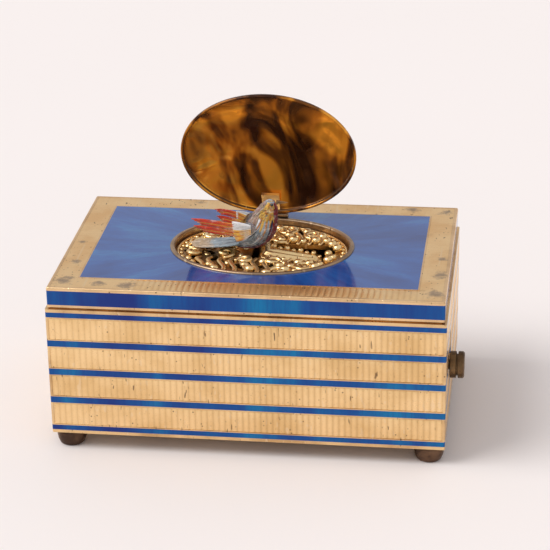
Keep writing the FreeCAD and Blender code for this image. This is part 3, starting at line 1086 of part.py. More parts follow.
def main():
    """Builds every sub-part and writes it."""
    make_case()
    make_feet()
    make_cover()
    make_bezel()
    make_grille()
    make_lid()
    make_carriage()
    make_bird()
    make_start()
    spots = make_train()
    make_bridge(spots)
    make_bellows(spots[2])
    lever_pin = make_whistle(spots[1])
    pivot = size("pivot_radius") + size("run_gap")
    wide = size("barrel_arbor_radius") + size("run_gap")
    make_base([(spots[0], wide)] + [(spot, pivot) for spot in spots[1:]], lever_pin)
    check_and_write()


main()
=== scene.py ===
"""The looks of a singing bird box, built round its packed mechanical model.

The lower case and the cover are gilt metal with blue enamel laid into them, and between the stripes the metal is
cut into upright flutes. An oval lid stands open over a pierced and scrolled grille, in front of which a small
feathered bird perches on its rocking carriage. Every length is in metres and comes from the model's own boxes.
"""

import json
import logging
import math
from dataclasses import dataclass, field
from enum import Enum

import bmesh
import bpy
import numpy as np
from mathutils import Matrix, Vector

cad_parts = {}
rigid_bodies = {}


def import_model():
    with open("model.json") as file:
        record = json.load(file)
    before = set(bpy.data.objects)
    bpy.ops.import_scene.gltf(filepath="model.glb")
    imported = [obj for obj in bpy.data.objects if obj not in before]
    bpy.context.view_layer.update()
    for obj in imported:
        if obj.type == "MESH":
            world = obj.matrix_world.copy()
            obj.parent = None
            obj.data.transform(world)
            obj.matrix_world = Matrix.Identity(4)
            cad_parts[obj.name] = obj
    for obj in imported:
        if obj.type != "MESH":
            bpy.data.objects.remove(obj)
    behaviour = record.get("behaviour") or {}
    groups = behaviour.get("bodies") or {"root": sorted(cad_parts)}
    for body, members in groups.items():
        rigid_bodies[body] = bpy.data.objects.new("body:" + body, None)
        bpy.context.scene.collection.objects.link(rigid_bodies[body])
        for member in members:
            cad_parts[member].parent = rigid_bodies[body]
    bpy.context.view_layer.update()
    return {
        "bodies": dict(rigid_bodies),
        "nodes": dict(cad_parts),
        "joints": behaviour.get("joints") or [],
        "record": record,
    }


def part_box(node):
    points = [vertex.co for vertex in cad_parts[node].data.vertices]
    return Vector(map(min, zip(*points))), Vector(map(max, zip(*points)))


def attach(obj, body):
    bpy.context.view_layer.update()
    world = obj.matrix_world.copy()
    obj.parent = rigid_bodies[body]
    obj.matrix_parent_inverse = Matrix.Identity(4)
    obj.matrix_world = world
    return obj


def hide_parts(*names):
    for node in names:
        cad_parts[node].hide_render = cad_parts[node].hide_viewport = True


LOG = logging.getLogger("bird_box")
MM = 0.001
Array = np.ndarray
Colour = tuple[float, float, float]


class Body(Enum):
    """The moving bodies that a piece can ride on."""

    CASE = "case"
    LID = "lid"
    CARRIAGE = "carriage"
    BIRD = "bird"
    LOWER_BEAK = "lower_beak"
    TAIL = "tail"
    WINGS = "wings"


# ------------------------------------------------------------------------------------------- surfaces


def unit(vectors: Array) -> Array:
    """Scales vectors to length one.

    Args:
        vectors: An array whose last axis holds x, y and z.

    Returns:
        The same directions with length one.
    """
    return vectors / np.maximum(np.linalg.norm(vectors, axis=-1, keepdims=True), 1e-12)


def smooth_step(values: Array, low: float, high: float) -> Array:
    """Rises softly from 0 at low to 1 at high.

    Args:
        values: Numbers to shape.
        low: Where the rise begins.
        high: Where it ends.

    Returns:
        Values between 0 and 1.
    """
    share = np.clip((np.asarray(values) - low) / (high - low), 0.0, 1.0)
    return share * share * (3.0 - 2.0 * share)


def curve_through(points: Array, count: int) -> Array:
    """Runs a Catmull-Rom curve through points.

    Each span is the cubic whose slope at a point is half of the step between that point's two neighbours.

    Args:
        points: The points to pass through, one in a row.
        count: How many samples to take.

    Returns:
        The samples, evenly spread over the spans.
    """
    points = np.asarray(points, float)
    padded = np.vstack([2 * points[0] - points[1], points, 2 * points[-1] - points[-2]])
    place = np.linspace(0, len(points) - 1, count)
    span = np.minimum(place.astype(int), len(points) - 2)
    t = (place - span)[:, None]
    a, b, c, d = (padded[span + k] for k in range(4))
    return 0.5 * (2 * b + (c - a) * t + (2 * a - 5 * b + 4 * c - d) * t**2 + (3 * b - a - 3 * c + d) * t**3)


@dataclass
class Shape:
    """Grids gathered into one mesh, with a tint and a second value carried by every vertex."""

    points: list[Array] = field(default_factory=list)
    faces: list[list[int]] = field(default_factory=list)
    tints: list[Array] = field(default_factory=list)
    count: int = 0

    def _add(self, points: Array, tint: Array) -> int:
        """Stores vertices and their tints and returns the first one's number."""
        first = self.count
        self.points.append(points.reshape(-1, 3))
        self.tints.append(np.broadcast_to(np.asarray(tint, float), (points.reshape(-1, 3).shape[0], 4)))
        self.count += points.reshape(-1, 3).shape[0]
        return first

    def grid(self, points: Array, tint: Array = (1, 1, 1, 1), around: bool = False, ends: bool = False) -> None:
        """Adds a surface given by a grid of points.

        Args:
            points: Rows of points, rows by columns by 3. The columns run anticlockwise round the outward side.
            tint: One tint, or one for each point.
            around: Whether each row closes on itself.
            ends: Whether the first and the last row are closed with a fan.
        """
        rows, columns = points.shape[:2]
        first = self._add(points, np.asarray(tint, float).reshape(-1, 4) if np.ndim(tint) > 1 else tint)
        number = first + np.arange(rows * columns).reshape(rows, columns)
        nxt = np.roll(number, -1, axis=1) if around else number[:, 1:]
        here = number if around else number[:, :-1]
        quads = np.stack([here[:-1], nxt[:-1], nxt[1:], here[1:]], axis=-1)
        self.faces += quads.reshape(-1, 4).tolist()
        if ends:
            last_tint = np.asarray(tint, float).reshape(-1, 4)
            for row, flip, shade in ((0, True, last_tint[0]), (rows - 1, False, last_tint[-1])):
                middle = self._add(points[row].mean(axis=0), shade)
                ring, following = number[row], np.roll(number[row], -1)
                pair = (following, ring) if flip else (ring, following)
                fan = np.stack([np.full(columns, middle), *pair], axis=-1)
                self.faces += fan.tolist()

    def sweep(self, path: Array, wide: Array, thick: Array, up: Array, tint: Array = (1, 1, 1, 1),
              sides: int = 8) -> None:
        """Carries an oval section along a path and closes both ends.

        At each point of the path, the ring is the point plus side times wide times cosine plus normal times
        thick times sine, where side is square to the path and to up.

        Args:
            path: Points along the middle line.
            wide: Half width of the section, along the path.
            thick: Half thickness of the section, along the path.
            up: A direction, or one for each point, that the section's thickness leans towards.
            tint: One tint, or one for each point of the path.
            sides: Points round the section.
        """
        count = len(path)
        along = unit(np.gradient(path, axis=0))
        side = unit(np.cross(np.broadcast_to(up, path.shape), along))
        normal = np.cross(along, side)
        angle = np.linspace(0, 2 * math.pi, sides, endpoint=False)
        wide = np.broadcast_to(wide, count)[:, None, None]
        thick = np.broadcast_to(thick, count)[:, None, None]
        ring = (path[:, None] + side[:, None] * wide * np.cos(angle)[None, :, None]
                + normal[:, None] * thick * np.sin(angle)[None, :, None])
        if np.ndim(tint) > 1:
            tint = np.repeat(np.asarray(tint, float)[:, None], sides, axis=1)
        self.grid(ring, tint, around=True, ends=True)

    def ball(self, centre: Array, radius: float, tint: Array = (1, 1, 1, 1), rows: int = 7, columns: int = 12,
             squash: float = 1.0) -> None:
        """Adds a ball, its height scaled by squash.

        Args:
            centre: Middle of the ball.
            radius: Its radius.
            tint: Its tint.
            rows: Rings from pole to pole.
            columns: Points in a ring.
            squash: Height over width.
        """
        polar = np.linspace(0.12, math.pi - 0.12, rows)[::-1, None]
        angle = np.linspace(0, 2 * math.pi, columns, endpoint=False)[None]
        points = np.stack([np.sin(polar) * np.cos(angle), np.sin(polar) * np.sin(angle),
                           np.cos(polar) * squash * np.ones_like(angle)], axis=-1)
        self.grid(np.asarray(centre) + radius * points, tint, around=True, ends=True)

    def oval_ring(self, half: tuple[float, float], profile: Array, count: int = 160,
                  tint: Array = (1, 1, 1, 1)) -> None:
        """Carries a closed profile round an oval.

        A point of the ring is the oval's point plus its outward normal times the profile's offset, at the
        profile's height.

        Args:
            half: The oval's half length and half depth.
            profile: Pairs of outward offset and height, anticlockwise with the offset to the right.
            count: Steps round the oval.
            tint: The ring's tint.
        """
        angle = np.linspace(0, 2 * math.pi, count, endpoint=False)
        outline = np.stack([half[0] * np.cos(angle), half[1] * np.sin(angle)], axis=-1)
        normal = unit(np.stack([half[1] * np.cos(angle), half[0] * np.sin(angle)], axis=-1))
        profile = np.asarray(profile, float)
        flat = outline[None] + normal[None] * profile[:, 0][:, None, None]
        height = np.broadcast_to(profile[:, 1][:, None, None], flat.shape[:2] + (1,))
        ring = np.concatenate([flat, height], axis=-1)
        ring = np.concatenate([ring, ring[:1]], axis=0)
        self.grid(ring[::-1], tint, around=True)

    def move(self, matrix: Matrix) -> None:
        """Moves every vertex by a matrix."""
        table = np.array(matrix)
        self.points = [points @ table[:3, :3].T + table[:3, 3] for points in self.points]

    def piece(self, name: str, finish: bpy.types.Material, body: Body,
              replaces: tuple[str, ...] = (), smooth: bool = True, mend: bool = False) -> bpy.types.Object:
        """Makes the mesh, dresses it and hands it to the frame.

        Args:
            name: The piece's name.
            finish: Its material.
            body: The body that it rides on.
            replaces: Nodes that it stands for.
            smooth: Whether its faces are shaded smoothly.
            mend: Whether doubled points are merged and the faces turned outwards.

        Returns:
            The object.
        """
        mesh = bpy.data.meshes.new(name)
        mesh.from_pydata(np.concatenate(self.points).tolist(), [], self.faces)
        mesh.validate()
        tints = np.concatenate(self.tints)
        layer = mesh.color_attributes.new(name="tint", type="FLOAT_COLOR", domain="POINT")
        if len(tints) == len(mesh.vertices):
            layer.data.foreach_set("color", tints.astype(np.float32).ravel())
        if mend:
            work = bmesh.new()
            work.from_mesh(mesh)
            bmesh.ops.remove_doubles(work, verts=work.verts, dist=1e-7)
            bmesh.ops.recalc_face_normals(work, faces=work.faces)
            work.to_mesh(mesh)
            work.free()
        mesh.polygons.foreach_set("use_smooth", [smooth] * len(mesh.polygons))
        mesh.materials.append(finish)
        obj = bpy.data.objects.new(name, mesh)
        bpy.context.scene.collection.objects.link(obj)
        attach(obj, body.value)
        if replaces:
            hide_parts(*replaces)
        LOG.info("%s: %d faces on %s", name, len(mesh.polygons), body.value)
        return obj


# ------------------------------------------------------------------------------------------- finishes


class Paint:
    """A node material in the making."""

    def __init__(self, name: str) -> None:
        """Starts a material with one principled shader."""
        self.material = bpy.data.materials.new(name)
        self.material.use_nodes = True
        self.tree = self.material.node_tree
        self.tree.nodes.clear()
        output = self.tree.nodes.new("ShaderNodeOutputMaterial")
        self.shader = self.tree.nodes.new("ShaderNodeBsdfPrincipled")
        self.tree.links.new(self.shader.outputs[0], output.inputs[0])
        self.place = self.node("ShaderNodeTexCoord").outputs["Object"]

    def node(self, kind: str, inputs: dict | None = None, **settings: object) -> bpy.types.Node:
        """Adds a node.

        Args:
            kind: The node's type.
            inputs: Values or sockets for its inputs, by name or number.
            **settings: The node's own settings.

        Returns:
            The node.
        """
        made = self.tree.nodes.new(kind)
        for key, value in settings.items():
            setattr(made, key, value)
        for key, value in (inputs or {}).items():
            self.plug(made.inputs[key], value)
        return made

    def plug(self, socket: bpy.types.NodeSocket, value: object) -> None:
        """Links a socket to another one, or sets its value."""
        if isinstance(value, bpy.types.NodeSocket):
            self.tree.links.new(value, socket)
        elif isinstance(value, tuple) and len(value) == 3 and socket.type == "RGBA":
            socket.default_value = (*value, 1.0)
        else:
            socket.default_value = value

    def set(self, **inputs: object) -> None:
        """Sets the shader's inputs. An underscore stands for a blank in a name."""
        for key, value in inputs.items():
            name = key.replace("_", " ").title().replace("Ior", "IOR")
            self.plug(self.shader.inputs[name], value)

    def stretched(self, scale: tuple[float, float, float], turn: tuple[float, float, float] = (0, 0, 0),
                  shift: tuple[float, float, float] = (0, 0, 0)) -> bpy.types.NodeSocket:
        """Object coordinates, moved, turned and scaled."""
        inputs = {"Vector": self.place, "Scale": scale, "Rotation": turn, "Location": shift}
        return self.node("ShaderNodeMapping", inputs).outputs[0]

    def noise(self, scale: float, detail: float = 3.0, rough: float = 0.5, twist: float = 0.0,
              place: bpy.types.NodeSocket | None = None) -> bpy.types.NodeSocket:
        """Fractal noise.

        Args:
            scale: Features in a metre.
            detail: Octaves.
            rough: Weight of the finer octaves.
            twist: Distortion.
            place: Coordinates, if not the object's own.

        Returns:
            The noise's value.
        """
        inputs = {"Vector": place or self.place, "Scale": scale, "Detail": detail, "Roughness": rough,
                  "Distortion": twist}
        return self.node("ShaderNodeTexNoise", inputs).outputs["Fac"]

    def cells(self, scale: float, place: bpy.types.NodeSocket | None = None) -> bpy.types.NodeSocket:
        """Distance to the nearest of many scattered points."""
        inputs = {"Vector": place or self.place, "Scale": scale}
        return self.node("ShaderNodeTexVoronoi", inputs).outputs["Distance"]

    def sum(self, operation: str, first: object, second: object = 0.0, third: object = 0.0
            ) -> bpy.types.NodeSocket:
        """One step of arithmetic, such as ADD, MULTIPLY or SMOOTH_MIN."""
        return self.node("ShaderNodeMath", {0: first, 1: second, 2: third}, operation=operation).outputs[0]

    def fade(self, value: object, low: float, high: float, start: float = 0.0, end: float = 1.0
             ) -> bpy.types.NodeSocket:
        """Maps low..high to start..end, softly and with no overshoot."""
        inputs = {"Value": value, "From Min": low, "From Max": high, "To Min": start, "To Max": end}
        return self.node("ShaderNodeMapRange", inputs, interpolation_type="SMOOTHSTEP").outputs[0]

    def blend(self, share: object, first: object, second: object, mode: str = "MIX") -> bpy.types.NodeSocket:
        """Mixes two colours."""
        made = self.node("ShaderNodeMix", data_type="RGBA", blend_type=mode)
        self.plug(made.inputs[0], share)
        self.plug(made.inputs[6], first)
        self.plug(made.inputs[7], second)
        return made.outputs[2]

    def ramp(self, value: bpy.types.NodeSocket, stops: tuple[tuple[float, Colour], ...]) -> bpy.types.NodeSocket:
        """Colours a value by stops."""
        made = self.node("ShaderNodeValToRGB", {"Fac": value})
        while len(made.color_ramp.elements) < len(stops):
            made.color_ramp.elements.new(0.5)
        for element, (place, colour) in zip(made.color_ramp.elements, stops):
            element.position = place
            element.color = (*colour, 1.0)
        return made.outputs["Color"]

    def bump(self, height: object, strength: float, depth: float) -> None:
        """Presses a height into the surface, on top of what was pressed before."""
        inputs = {"Height": height, "Strength": strength, "Distance": depth}
        normal = self.shader.inputs["Normal"]
        if normal.is_linked:
            inputs["Normal"] = normal.links[0].from_socket
        self.plug(normal, self.node("ShaderNodeBump", inputs).outputs[0])

    def axis(self, letter: str) -> bpy.types.NodeSocket:
        """One of the object's coordinates."""
        return self.node("ShaderNodeSeparateXYZ", {0: self.place}).outputs[letter]

    def tint(self) -> bpy.types.Node:
        """The colour carried by the vertices."""
        return self.node("ShaderNodeAttribute", attribute_name="tint")

    def near(self, spot: tuple[float, float, float], reach: float, ragged: bpy.types.NodeSocket
             ) -> bpy.types.NodeSocket:
        """A ragged patch round a point.

        Args:
            spot: Its middle, in metres.
            reach: Its radius, in metres.
            ragged: A noise that frays its edge.

        Returns:
            1 inside and 0 outside.
        """
        away = self.node("ShaderNodeVectorMath", {0: self.place, 1: spot}, operation="DISTANCE").outputs["Value"]
        frayed = self.sum("MULTIPLY_ADD", ragged, -1.5 * reach, away)
        return self.fade(frayed, -0.1 * reach, 0.3 * reach, 1.0, 0.0)


@dataclass(frozen=True)
class WornGilt:
    """Gilt brass that has dulled: warm light and shade tones that drift at random, pits, scratches, grey-brown
    bare patches and, on fluted fields, painted shade in the grooves.
    """

    name: str
    light: Colour = (0.86, 0.60, 0.31)
    shade: Colour = (0.62, 0.39, 0.19)
    rough: float = 0.32
    grain: float = 0.3
    speckle: float = 0.5
    bare: float = 0.0
    patches: tuple[tuple[float, float, float, float], ...] = ()
    fluted: bool = False
    cut: float = 0.6

    def build(self) -> bpy.types.Material:
        """Makes the material."""
        paint = Paint(self.name)
        cloud = paint.noise(90.0, 4.0, 0.6)
        colour = paint.blend(paint.fade(cloud, 0.35, 0.7), self.light, self.shade)
        fine = paint.noise(2600.0, 3.0, 0.7)
        dust = paint.fade(fine, 0.58, 0.75, 0.0, self.speckle)
        colour = paint.blend(dust, colour, (0.36, 0.21, 0.10))
        pits = paint.fade(paint.cells(620.0), 0.06, 0.17, 1.0, 0.0)
        pits = paint.sum("MULTIPLY", pits, paint.fade(paint.noise(170.0, 2.0), 0.44, 0.56))
        nick = paint.noise(1500.0, 1.0, 0.4, 0.0, paint.stretched((1.0, 0.4, 0.22), (0.5, 0.9, 0.3)))
        nick = paint.sum("MULTIPLY", paint.fade(nick, 0.70, 0.76), paint.fade(paint.noise(130.0, 2.0), 0.42, 0.58))
        pits = paint.sum("MAXIMUM", pits, nick)
        colour = paint.blend(paint.sum("MULTIPLY", pits, 0.8), colour, (0.10, 0.06, 0.04))
        scratch = paint.noise(900.0, 1.0, 0.4, 0.0, paint.stretched((1.0, 0.05, 0.4), (0.2, 0.1, 0.7)))
        scratch = paint.fade(scratch, 0.66, 0.72)
        colour = paint.blend(paint.sum("MULTIPLY", scratch, 0.35), colour, (0.95, 0.75, 0.5))
        # Painted shade: the groove depth carried in the vertex tint's alpha darkens the flute grooves towards
        # brown.
        if self.fluted:
            depth = paint.tint().outputs["Alpha"]
            colour = paint.blend(paint.sum("MULTIPLY", depth, self.cut), colour, (0.44, 0.25, 0.095))
        mask = paint.fade(paint.noise(55.0, 5.0, 0.62), 0.66 - 0.14 * self.bare, 0.74 - 0.14 * self.bare)
        mask = paint.sum("MULTIPLY", mask, min(1.0, self.bare * 2.0))
        ragged = paint.sum("SUBTRACT", paint.noise(330.0, 5.0, 0.7), 0.4)
        for x, y, z, reach in self.patches:
            mask = paint.sum("MAXIMUM", mask, paint.near((x, y, z), reach, ragged))
        bare = paint.blend(paint.noise(700.0, 4.0, 0.7), (0.17, 0.115, 0.08), (0.42, 0.33, 0.25))
        paint.set(
            base_color=paint.blend(paint.sum("MULTIPLY", mask, 0.85), colour, bare),
            metallic=paint.fade(mask, 0.0, 1.0, 1.0, 0.72),
            roughness=paint.sum("ADD", paint.fade(cloud, 0.3, 0.75, self.rough - 0.05, self.rough + 0.12),
                                paint.sum("MULTIPLY", mask, 0.16)),
        )
        paint.bump(fine, self.grain, 0.00006)
        paint.bump(paint.sum("SUBTRACT", scratch, pits), 0.5, 0.00005)
        return paint.material


@dataclass(frozen=True)
class BlueEnamel:
    """Translucent blue enamel with a wet gloss over engine-turned metal."""

    name: str
    deep: Colour = (0.006, 0.040, 0.20)
    mid: Colour = (0.012, 0.085, 0.33)
    pale: Colour = (0.03, 0.20, 0.46)
    rays: bool = False
    bands: float = 110.0
    gloss: float = 0.5

    def build(self) -> bpy.types.Material:
        """Makes the material."""
        paint = Paint(self.name)
        if self.rays:
            turn = paint.sum("ARCTAN2", paint.axis("Y"), paint.axis("X"))
            away = paint.node("ShaderNodeVectorMath", {0: paint.stretched((1.0, 1.2, 0.0))}, operation="LENGTH")
            out = paint.sum("MULTIPLY", away.outputs["Value"], 6.0)
            fan = paint.node("ShaderNodeCombineXYZ", {0: turn, 1: out})
            streak = paint.noise(5.0, 4.0, 0.6, 0.3, fan.outputs[0])
            fine = paint.noise(60.0, 2.0, 0.6, 0.0, fan.outputs[0])
        else:
            streak = paint.noise(self.bands, 3.0, 0.5, 0.4, paint.stretched((1.0, 1.0, 0.12)))
            fine = paint.noise(self.bands * 14, 2.0, 0.6, 0.0, paint.stretched((1.0, 1.0, 0.1)))
        drift = paint.noise(34.0, 2.0, 0.5, 0.8)
        value = paint.sum("ADD", paint.sum("MULTIPLY", streak, 0.55), paint.sum("MULTIPLY", drift, 0.45))
        colour = paint.ramp(value, ((0.36, self.deep), (0.52, self.mid), (0.70, self.pale)))
        colour = paint.blend(paint.fade(fine, 0.35, 0.75, 0.0, 0.30), colour, self.deep)
        pits = paint.fade(paint.cells(420.0), 0.03, 0.07, 1.0, 0.0)
        pits = paint.sum("MULTIPLY", pits, paint.fade(paint.noise(80.0, 2.0), 0.56, 0.66))
        paint.set(base_color=paint.blend(pits, colour, (0.03, 0.05, 0.12)), roughness=0.09, ior=1.5,
                  coat_weight=self.gloss, coat_roughness=0.03, coat_ior=1.5, specular_ior_level=self.gloss)
        paint.bump(paint.noise(70.0, 1.0, 0.4), 0.10, 0.0006)
        paint.bump(fine, 0.05, 0.00005)
        return paint.material


@dataclass(frozen=True)
class LidGilt:
    """The lid's polished gilt lining: a wavy amber mirror with painted reflections in dark and bright swirls, and
    tarnish.
    """

    name: str

    def build(self) -> bpy.types.Material:
        """Makes the material."""
        paint = Paint(self.name)
        # Painted reflection: swirls from near black to bright amber stand in for what a wavy mirror reflects, and
        # partly for tarnish.
        painted_reflection_swirl = paint.noise(62.0, 2.0, 0.42, 3.0, paint.stretched((1.0, 1.0, 0.42), (0.0, 0.30, 0.0)))
        colour = paint.ramp(painted_reflection_swirl, ((0.35, (0.05, 0.016, 0.006)), (0.44, (0.19, 0.066, 0.010)),
                                    (0.52, (0.52, 0.19, 0.018)), (0.63, (0.95, 0.42, 0.045))))
        tarnish = paint.fade(paint.noise(160.0, 4.0, 0.6, 0.6), 0.58, 0.74)
        colour = paint.blend(paint.sum("MULTIPLY", tarnish, 0.4), colour, (0.10, 0.04, 0.012))
        paint.set(base_color=colour, metallic=0.62,
                  roughness=paint.fade(paint.noise(240.0, 3.0), 0.3, 0.7, 0.10, 0.24))
        paint.bump(paint.noise(85.0, 1.0, 0.4, 1.2), 0.55, 0.0016)
        return paint.material


@dataclass(frozen=True)
class PlainMetal:
    """Bare metal with a fine turned or brushed grain and a drift of tarnish."""

    name: str
    light: Colour
    shade: Colour
    rough: float = 0.35
    metallic: float = 1.0
    stretch: tuple[float, float, float] = (1.0, 1.0, 0.12)

    def build(self) -> bpy.types.Material:
        """Makes the material."""
        paint = Paint(self.name)
        drift = paint.noise(180.0, 4.0, 0.65, 0.4)
        grain = paint.noise(3800.0, 2.0, 0.6, 0.0, paint.stretched(self.stretch))
        spots = paint.fade(paint.noise(1400.0, 3.0, 0.7), 0.6, 0.72)
        colour = paint.blend(paint.fade(drift, 0.36, 0.66), self.light, self.shade)
        dark = tuple(0.45 * value for value in self.shade)
        colour = paint.blend(paint.sum("MULTIPLY", spots, 0.5), colour, dark)
        paint.set(base_color=colour, metallic=self.metallic,
                  roughness=paint.fade(drift, 0.3, 0.7, self.rough - 0.08, self.rough + 0.12))
        paint.bump(grain, 0.18, 0.00004)
        paint.bump(spots, 0.2, 0.00005)
        return paint.material


@dataclass(frozen=True)
class Plumage:
    """Feathers, coloured by their own tint, with barbs that slant off the quill."""

    name: str
    barb: float = 1.0

    def build(self) -> bpy.types.Material:
        """Makes the material."""
        paint = Paint(self.name)
        carried = paint.tint()
        strand = paint.noise(2400.0, 2.0, 0.6, 0.0, paint.stretched((0.25, 1.0, 1.0), (0.0, 0.5, 0.0)))
        tuft = paint.noise(900.0, 3.0, 0.6)
        colour = paint.blend(paint.fade(strand, 0.45, 0.7, 0.0, 0.5 * self.barb), carried.outputs["Color"],
                             (0.10, 0.09, 0.10))
        colour = paint.blend(paint.fade(tuft, 0.52, 0.72, 0.0, 0.35), colour, (0.92, 0.90, 0.86))
        paint.set(base_color=colour, roughness=0.62, sheen_weight=0.35, sheen_roughness=0.4,
                  specular_ior_level=0.35)
        paint.bump(strand, 0.5 * self.barb, 0.00012)
        return paint.material


@dataclass(frozen=True)
class SoftSkin:
    """Leather, horn or bead glass: a soft-toned solid with a fine grain."""

    name: str
    light: Colour
    shade: Colour
    rough: float = 0.6
    coat: float = 0.0

    def build(self) -> bpy.types.Material:
        """Makes the material."""
        paint = Paint(self.name)
        grain = paint.cells(1500.0)
        drift = paint.noise(300.0, 4.0, 0.6)
        paint.set(base_color=paint.blend(paint.fade(drift, 0.35, 0.7), self.light, self.shade),
                  roughness=self.rough, coat_weight=self.coat, coat_roughness=0.05)
        paint.bump(grain, 0.25, 0.00008)
        return paint.material


@dataclass(frozen=True)
class StudioFloor:
    """The pale sheet that the box stands on."""

    name: str = "pale_sheet"

    def build(self) -> bpy.types.Material:
        """Makes the material."""
        paint = Paint(self.name)
        cloud = paint.noise(6.0, 2.0)
        paint.set(base_color=paint.blend(cloud, (0.90, 0.852, 0.838), (0.92, 0.872, 0.858)), roughness=0.75,
                  specular_ior_level=0.2)
        return paint.material


class Finishes:
    """Every finish of the box, made once."""

    def __init__(self, cover: tuple[Vector, Vector], case: tuple[Vector, Vector]) -> None:
        """Makes the finishes.

        Args:
            cover: The top cover's lowest and highest corner, which its worn patches are placed from.
            case: The lower case's lowest and highest corner.
        """
        low, high = cover
        front, left, right, top = low.y, low.x, high.x, high.z
        self.cover_patches = (
            (left + 4 * MM, front + 5 * MM, top, 7.0 * MM),
            (left + 13 * MM, front + 4 * MM, top, 5.0 * MM),
            (left + 20 * MM, front + 3.6 * MM, top, 6.0 * MM),
            (left + 4 * MM, front + 17 * MM, top, 4.0 * MM),
            (left + 3 * MM, front + 30 * MM, top, 3.0 * MM),
            (right - 3 * MM, front + 5 * MM, top, 7.0 * MM),
            (right - 2.5 * MM, front + 17 * MM, top, 5.5 * MM),
            (right - 2 * MM, front + 27 * MM, top, 4.0 * MM),
            (right - 3 * MM, high.y - 4 * MM, top, 5.0 * MM),
            (right - 12 * MM, high.y - 3 * MM, top, 5.0 * MM),
            (left + 30 * MM, high.y - 2.5 * MM, top, 4.0 * MM),
        )
        case_patches = (
            (case[1].x, case[0].y, case[1].z, 2.2 * MM),
            (case[0].x + 9 * MM, case[0].y, case[1].z, 2.2 * MM),
            (case[1].x, case[0].y, case[0].z + 8 * MM, 0.8 * MM),
        )
        self.cover_gilt = WornGilt("worn_gilt_cover", light=(0.90, 0.62, 0.34), shade=(0.68, 0.45, 0.24),
                                   rough=0.36, speckle=0.35, bare=0.25, patches=self.cover_patches).build()
        # Painted shade: the two fluted finishes darken their flute grooves, by the weight given as cut.
        self.border_flutes = WornGilt("fluted_gilt_border", light=(1.0, 0.70, 0.36), shade=(0.86, 0.56, 0.27),
                                      rough=0.36, bare=0.2, fluted=True, cut=0.35,
                                      patches=self.cover_patches).build()
        self.case_gilt = WornGilt("gilt_case", patches=case_patches).build()
        self.case_flutes = WornGilt("fluted_gilt_case", light=(1.0, 0.70, 0.36), shade=(0.86, 0.57, 0.26),
                                    fluted=True, speckle=0.6).build()
        self.bezel_gilt = WornGilt("tarnished_gilt", light=(0.50, 0.35, 0.22), shade=(0.24, 0.17, 0.12),
                                   rough=0.38, bare=0.45).build()
        self.scroll_gilt = WornGilt("cast_gilt", light=(1.0, 0.76, 0.40), shade=(0.80, 0.52, 0.22), rough=0.27,
                                    speckle=0.3).build()
        # Painted shade: the pierced plate is given a dark gilt that stands for the deep shade between the
        # scrollwork.
        self.grille_gilt = WornGilt("shaded_cast_gilt", light=(0.46, 0.27, 0.10), shade=(0.20, 0.12, 0.05),
                                    rough=0.36, bare=0.2).build()
        self.dark_gilt = WornGilt("dark_rim_gilt", light=(0.20, 0.11, 0.06), shade=(0.10, 0.055, 0.035),
                                  rough=0.34, speckle=0.3).build()
        self.base_gilt = WornGilt("gilt_base", light=(0.66, 0.47, 0.26), shade=(0.45, 0.30, 0.16), rough=0.42,
                                  bare=0.5).build()
        self.panel_enamel = BlueEnamel("sunray_enamel", rays=True).build()
        self.band_enamel = BlueEnamel("band_enamel", deep=(0.012, 0.035, 0.22), mid=(0.008, 0.09, 0.33),
                                      pale=(0.006, 0.22, 0.46), gloss=0.12).build()
        self.lid_enamel = BlueEnamel("lid_enamel_finish", rays=True).build()
        self.lid_gilt = LidGilt("amber_gilt").build()
        self.bright_gilt = PlainMetal("bright_gilt", (1.0, 0.88, 0.70), (0.86, 0.68, 0.45), 0.30).build()
        self.aged_brass = PlainMetal("aged_brass_finish", (0.17, 0.095, 0.055), (0.075, 0.042, 0.028), 0.42,
                                     0.85, (1.0, 1.0, 1.0)).build()
        self.knob_brass = PlainMetal("knob_brass_finish", (0.22, 0.135, 0.065), (0.10, 0.06, 0.035), 0.40).build()
        self.brass = PlainMetal("movement_brass_finish", (0.80, 0.60, 0.30), (0.62, 0.43, 0.20), 0.34).build()
        self.steel = PlainMetal("steel_finish", (0.66, 0.66, 0.67), (0.46, 0.46, 0.48), 0.28).build()
        self.blued = PlainMetal("blued_steel_finish", (0.07, 0.10, 0.22), (0.04, 0.05, 0.12), 0.26).build()
        self.plumage = Plumage("body_plumage").build()
        self.quills = Plumage("long_feathers", 0.7).build()
        self.horn = SoftSkin("horn_finish", (0.30, 0.16, 0.06), (0.16, 0.08, 0.03), 0.35, 0.4).build()
        self.leather = SoftSkin("kid_leather", (0.66, 0.58, 0.45), (0.50, 0.42, 0.31), 0.7).build()
        self.bead = SoftSkin("black_bead", (0.010, 0.008, 0.008), (0.02, 0.015, 0.012), 0.08, 1.0).build()
        self.by_slot = {
            "gilt_brass": self.case_gilt, "blue_enamel": self.band_enamel, "lid_gilt": self.bright_gilt,
            "aged_brass": self.aged_brass, "movement_brass": self.brass, "steel": self.steel,
            "blued_steel": self.blued, "body_feathers": self.plumage, "wing_feathers": self.quills,
            "tail_feathers": self.quills, "horn": self.horn, "leather": self.leather,
        }
        self.by_node = {
            "top_cover": self.cover_gilt, "oval_bezel": self.bezel_gilt, "grille": self.grille_gilt,
            "base_plate": self.base_gilt, "top_enamel_panel": self.panel_enamel,
            "lid_hinge_knuckles": self.bezel_gilt, "start_knob": self.knob_brass,
        }

    def dress(self, frame: dict) -> None:
        """Gives each node of the model the finish of its slot, or its own.

        Args:
            frame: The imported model, as loaded.
        """
        slots = {entry["node"]: entry["material_slot"] for entry in frame["record"]["subparts"]}
        for name, obj in frame["nodes"].items():
            finish = self.by_node.get(name) or self.by_slot[slots[name]]
            obj.data.materials.clear()
            obj.data.materials.append(finish)


# ------------------------------------------------------------------------------------ case and cover


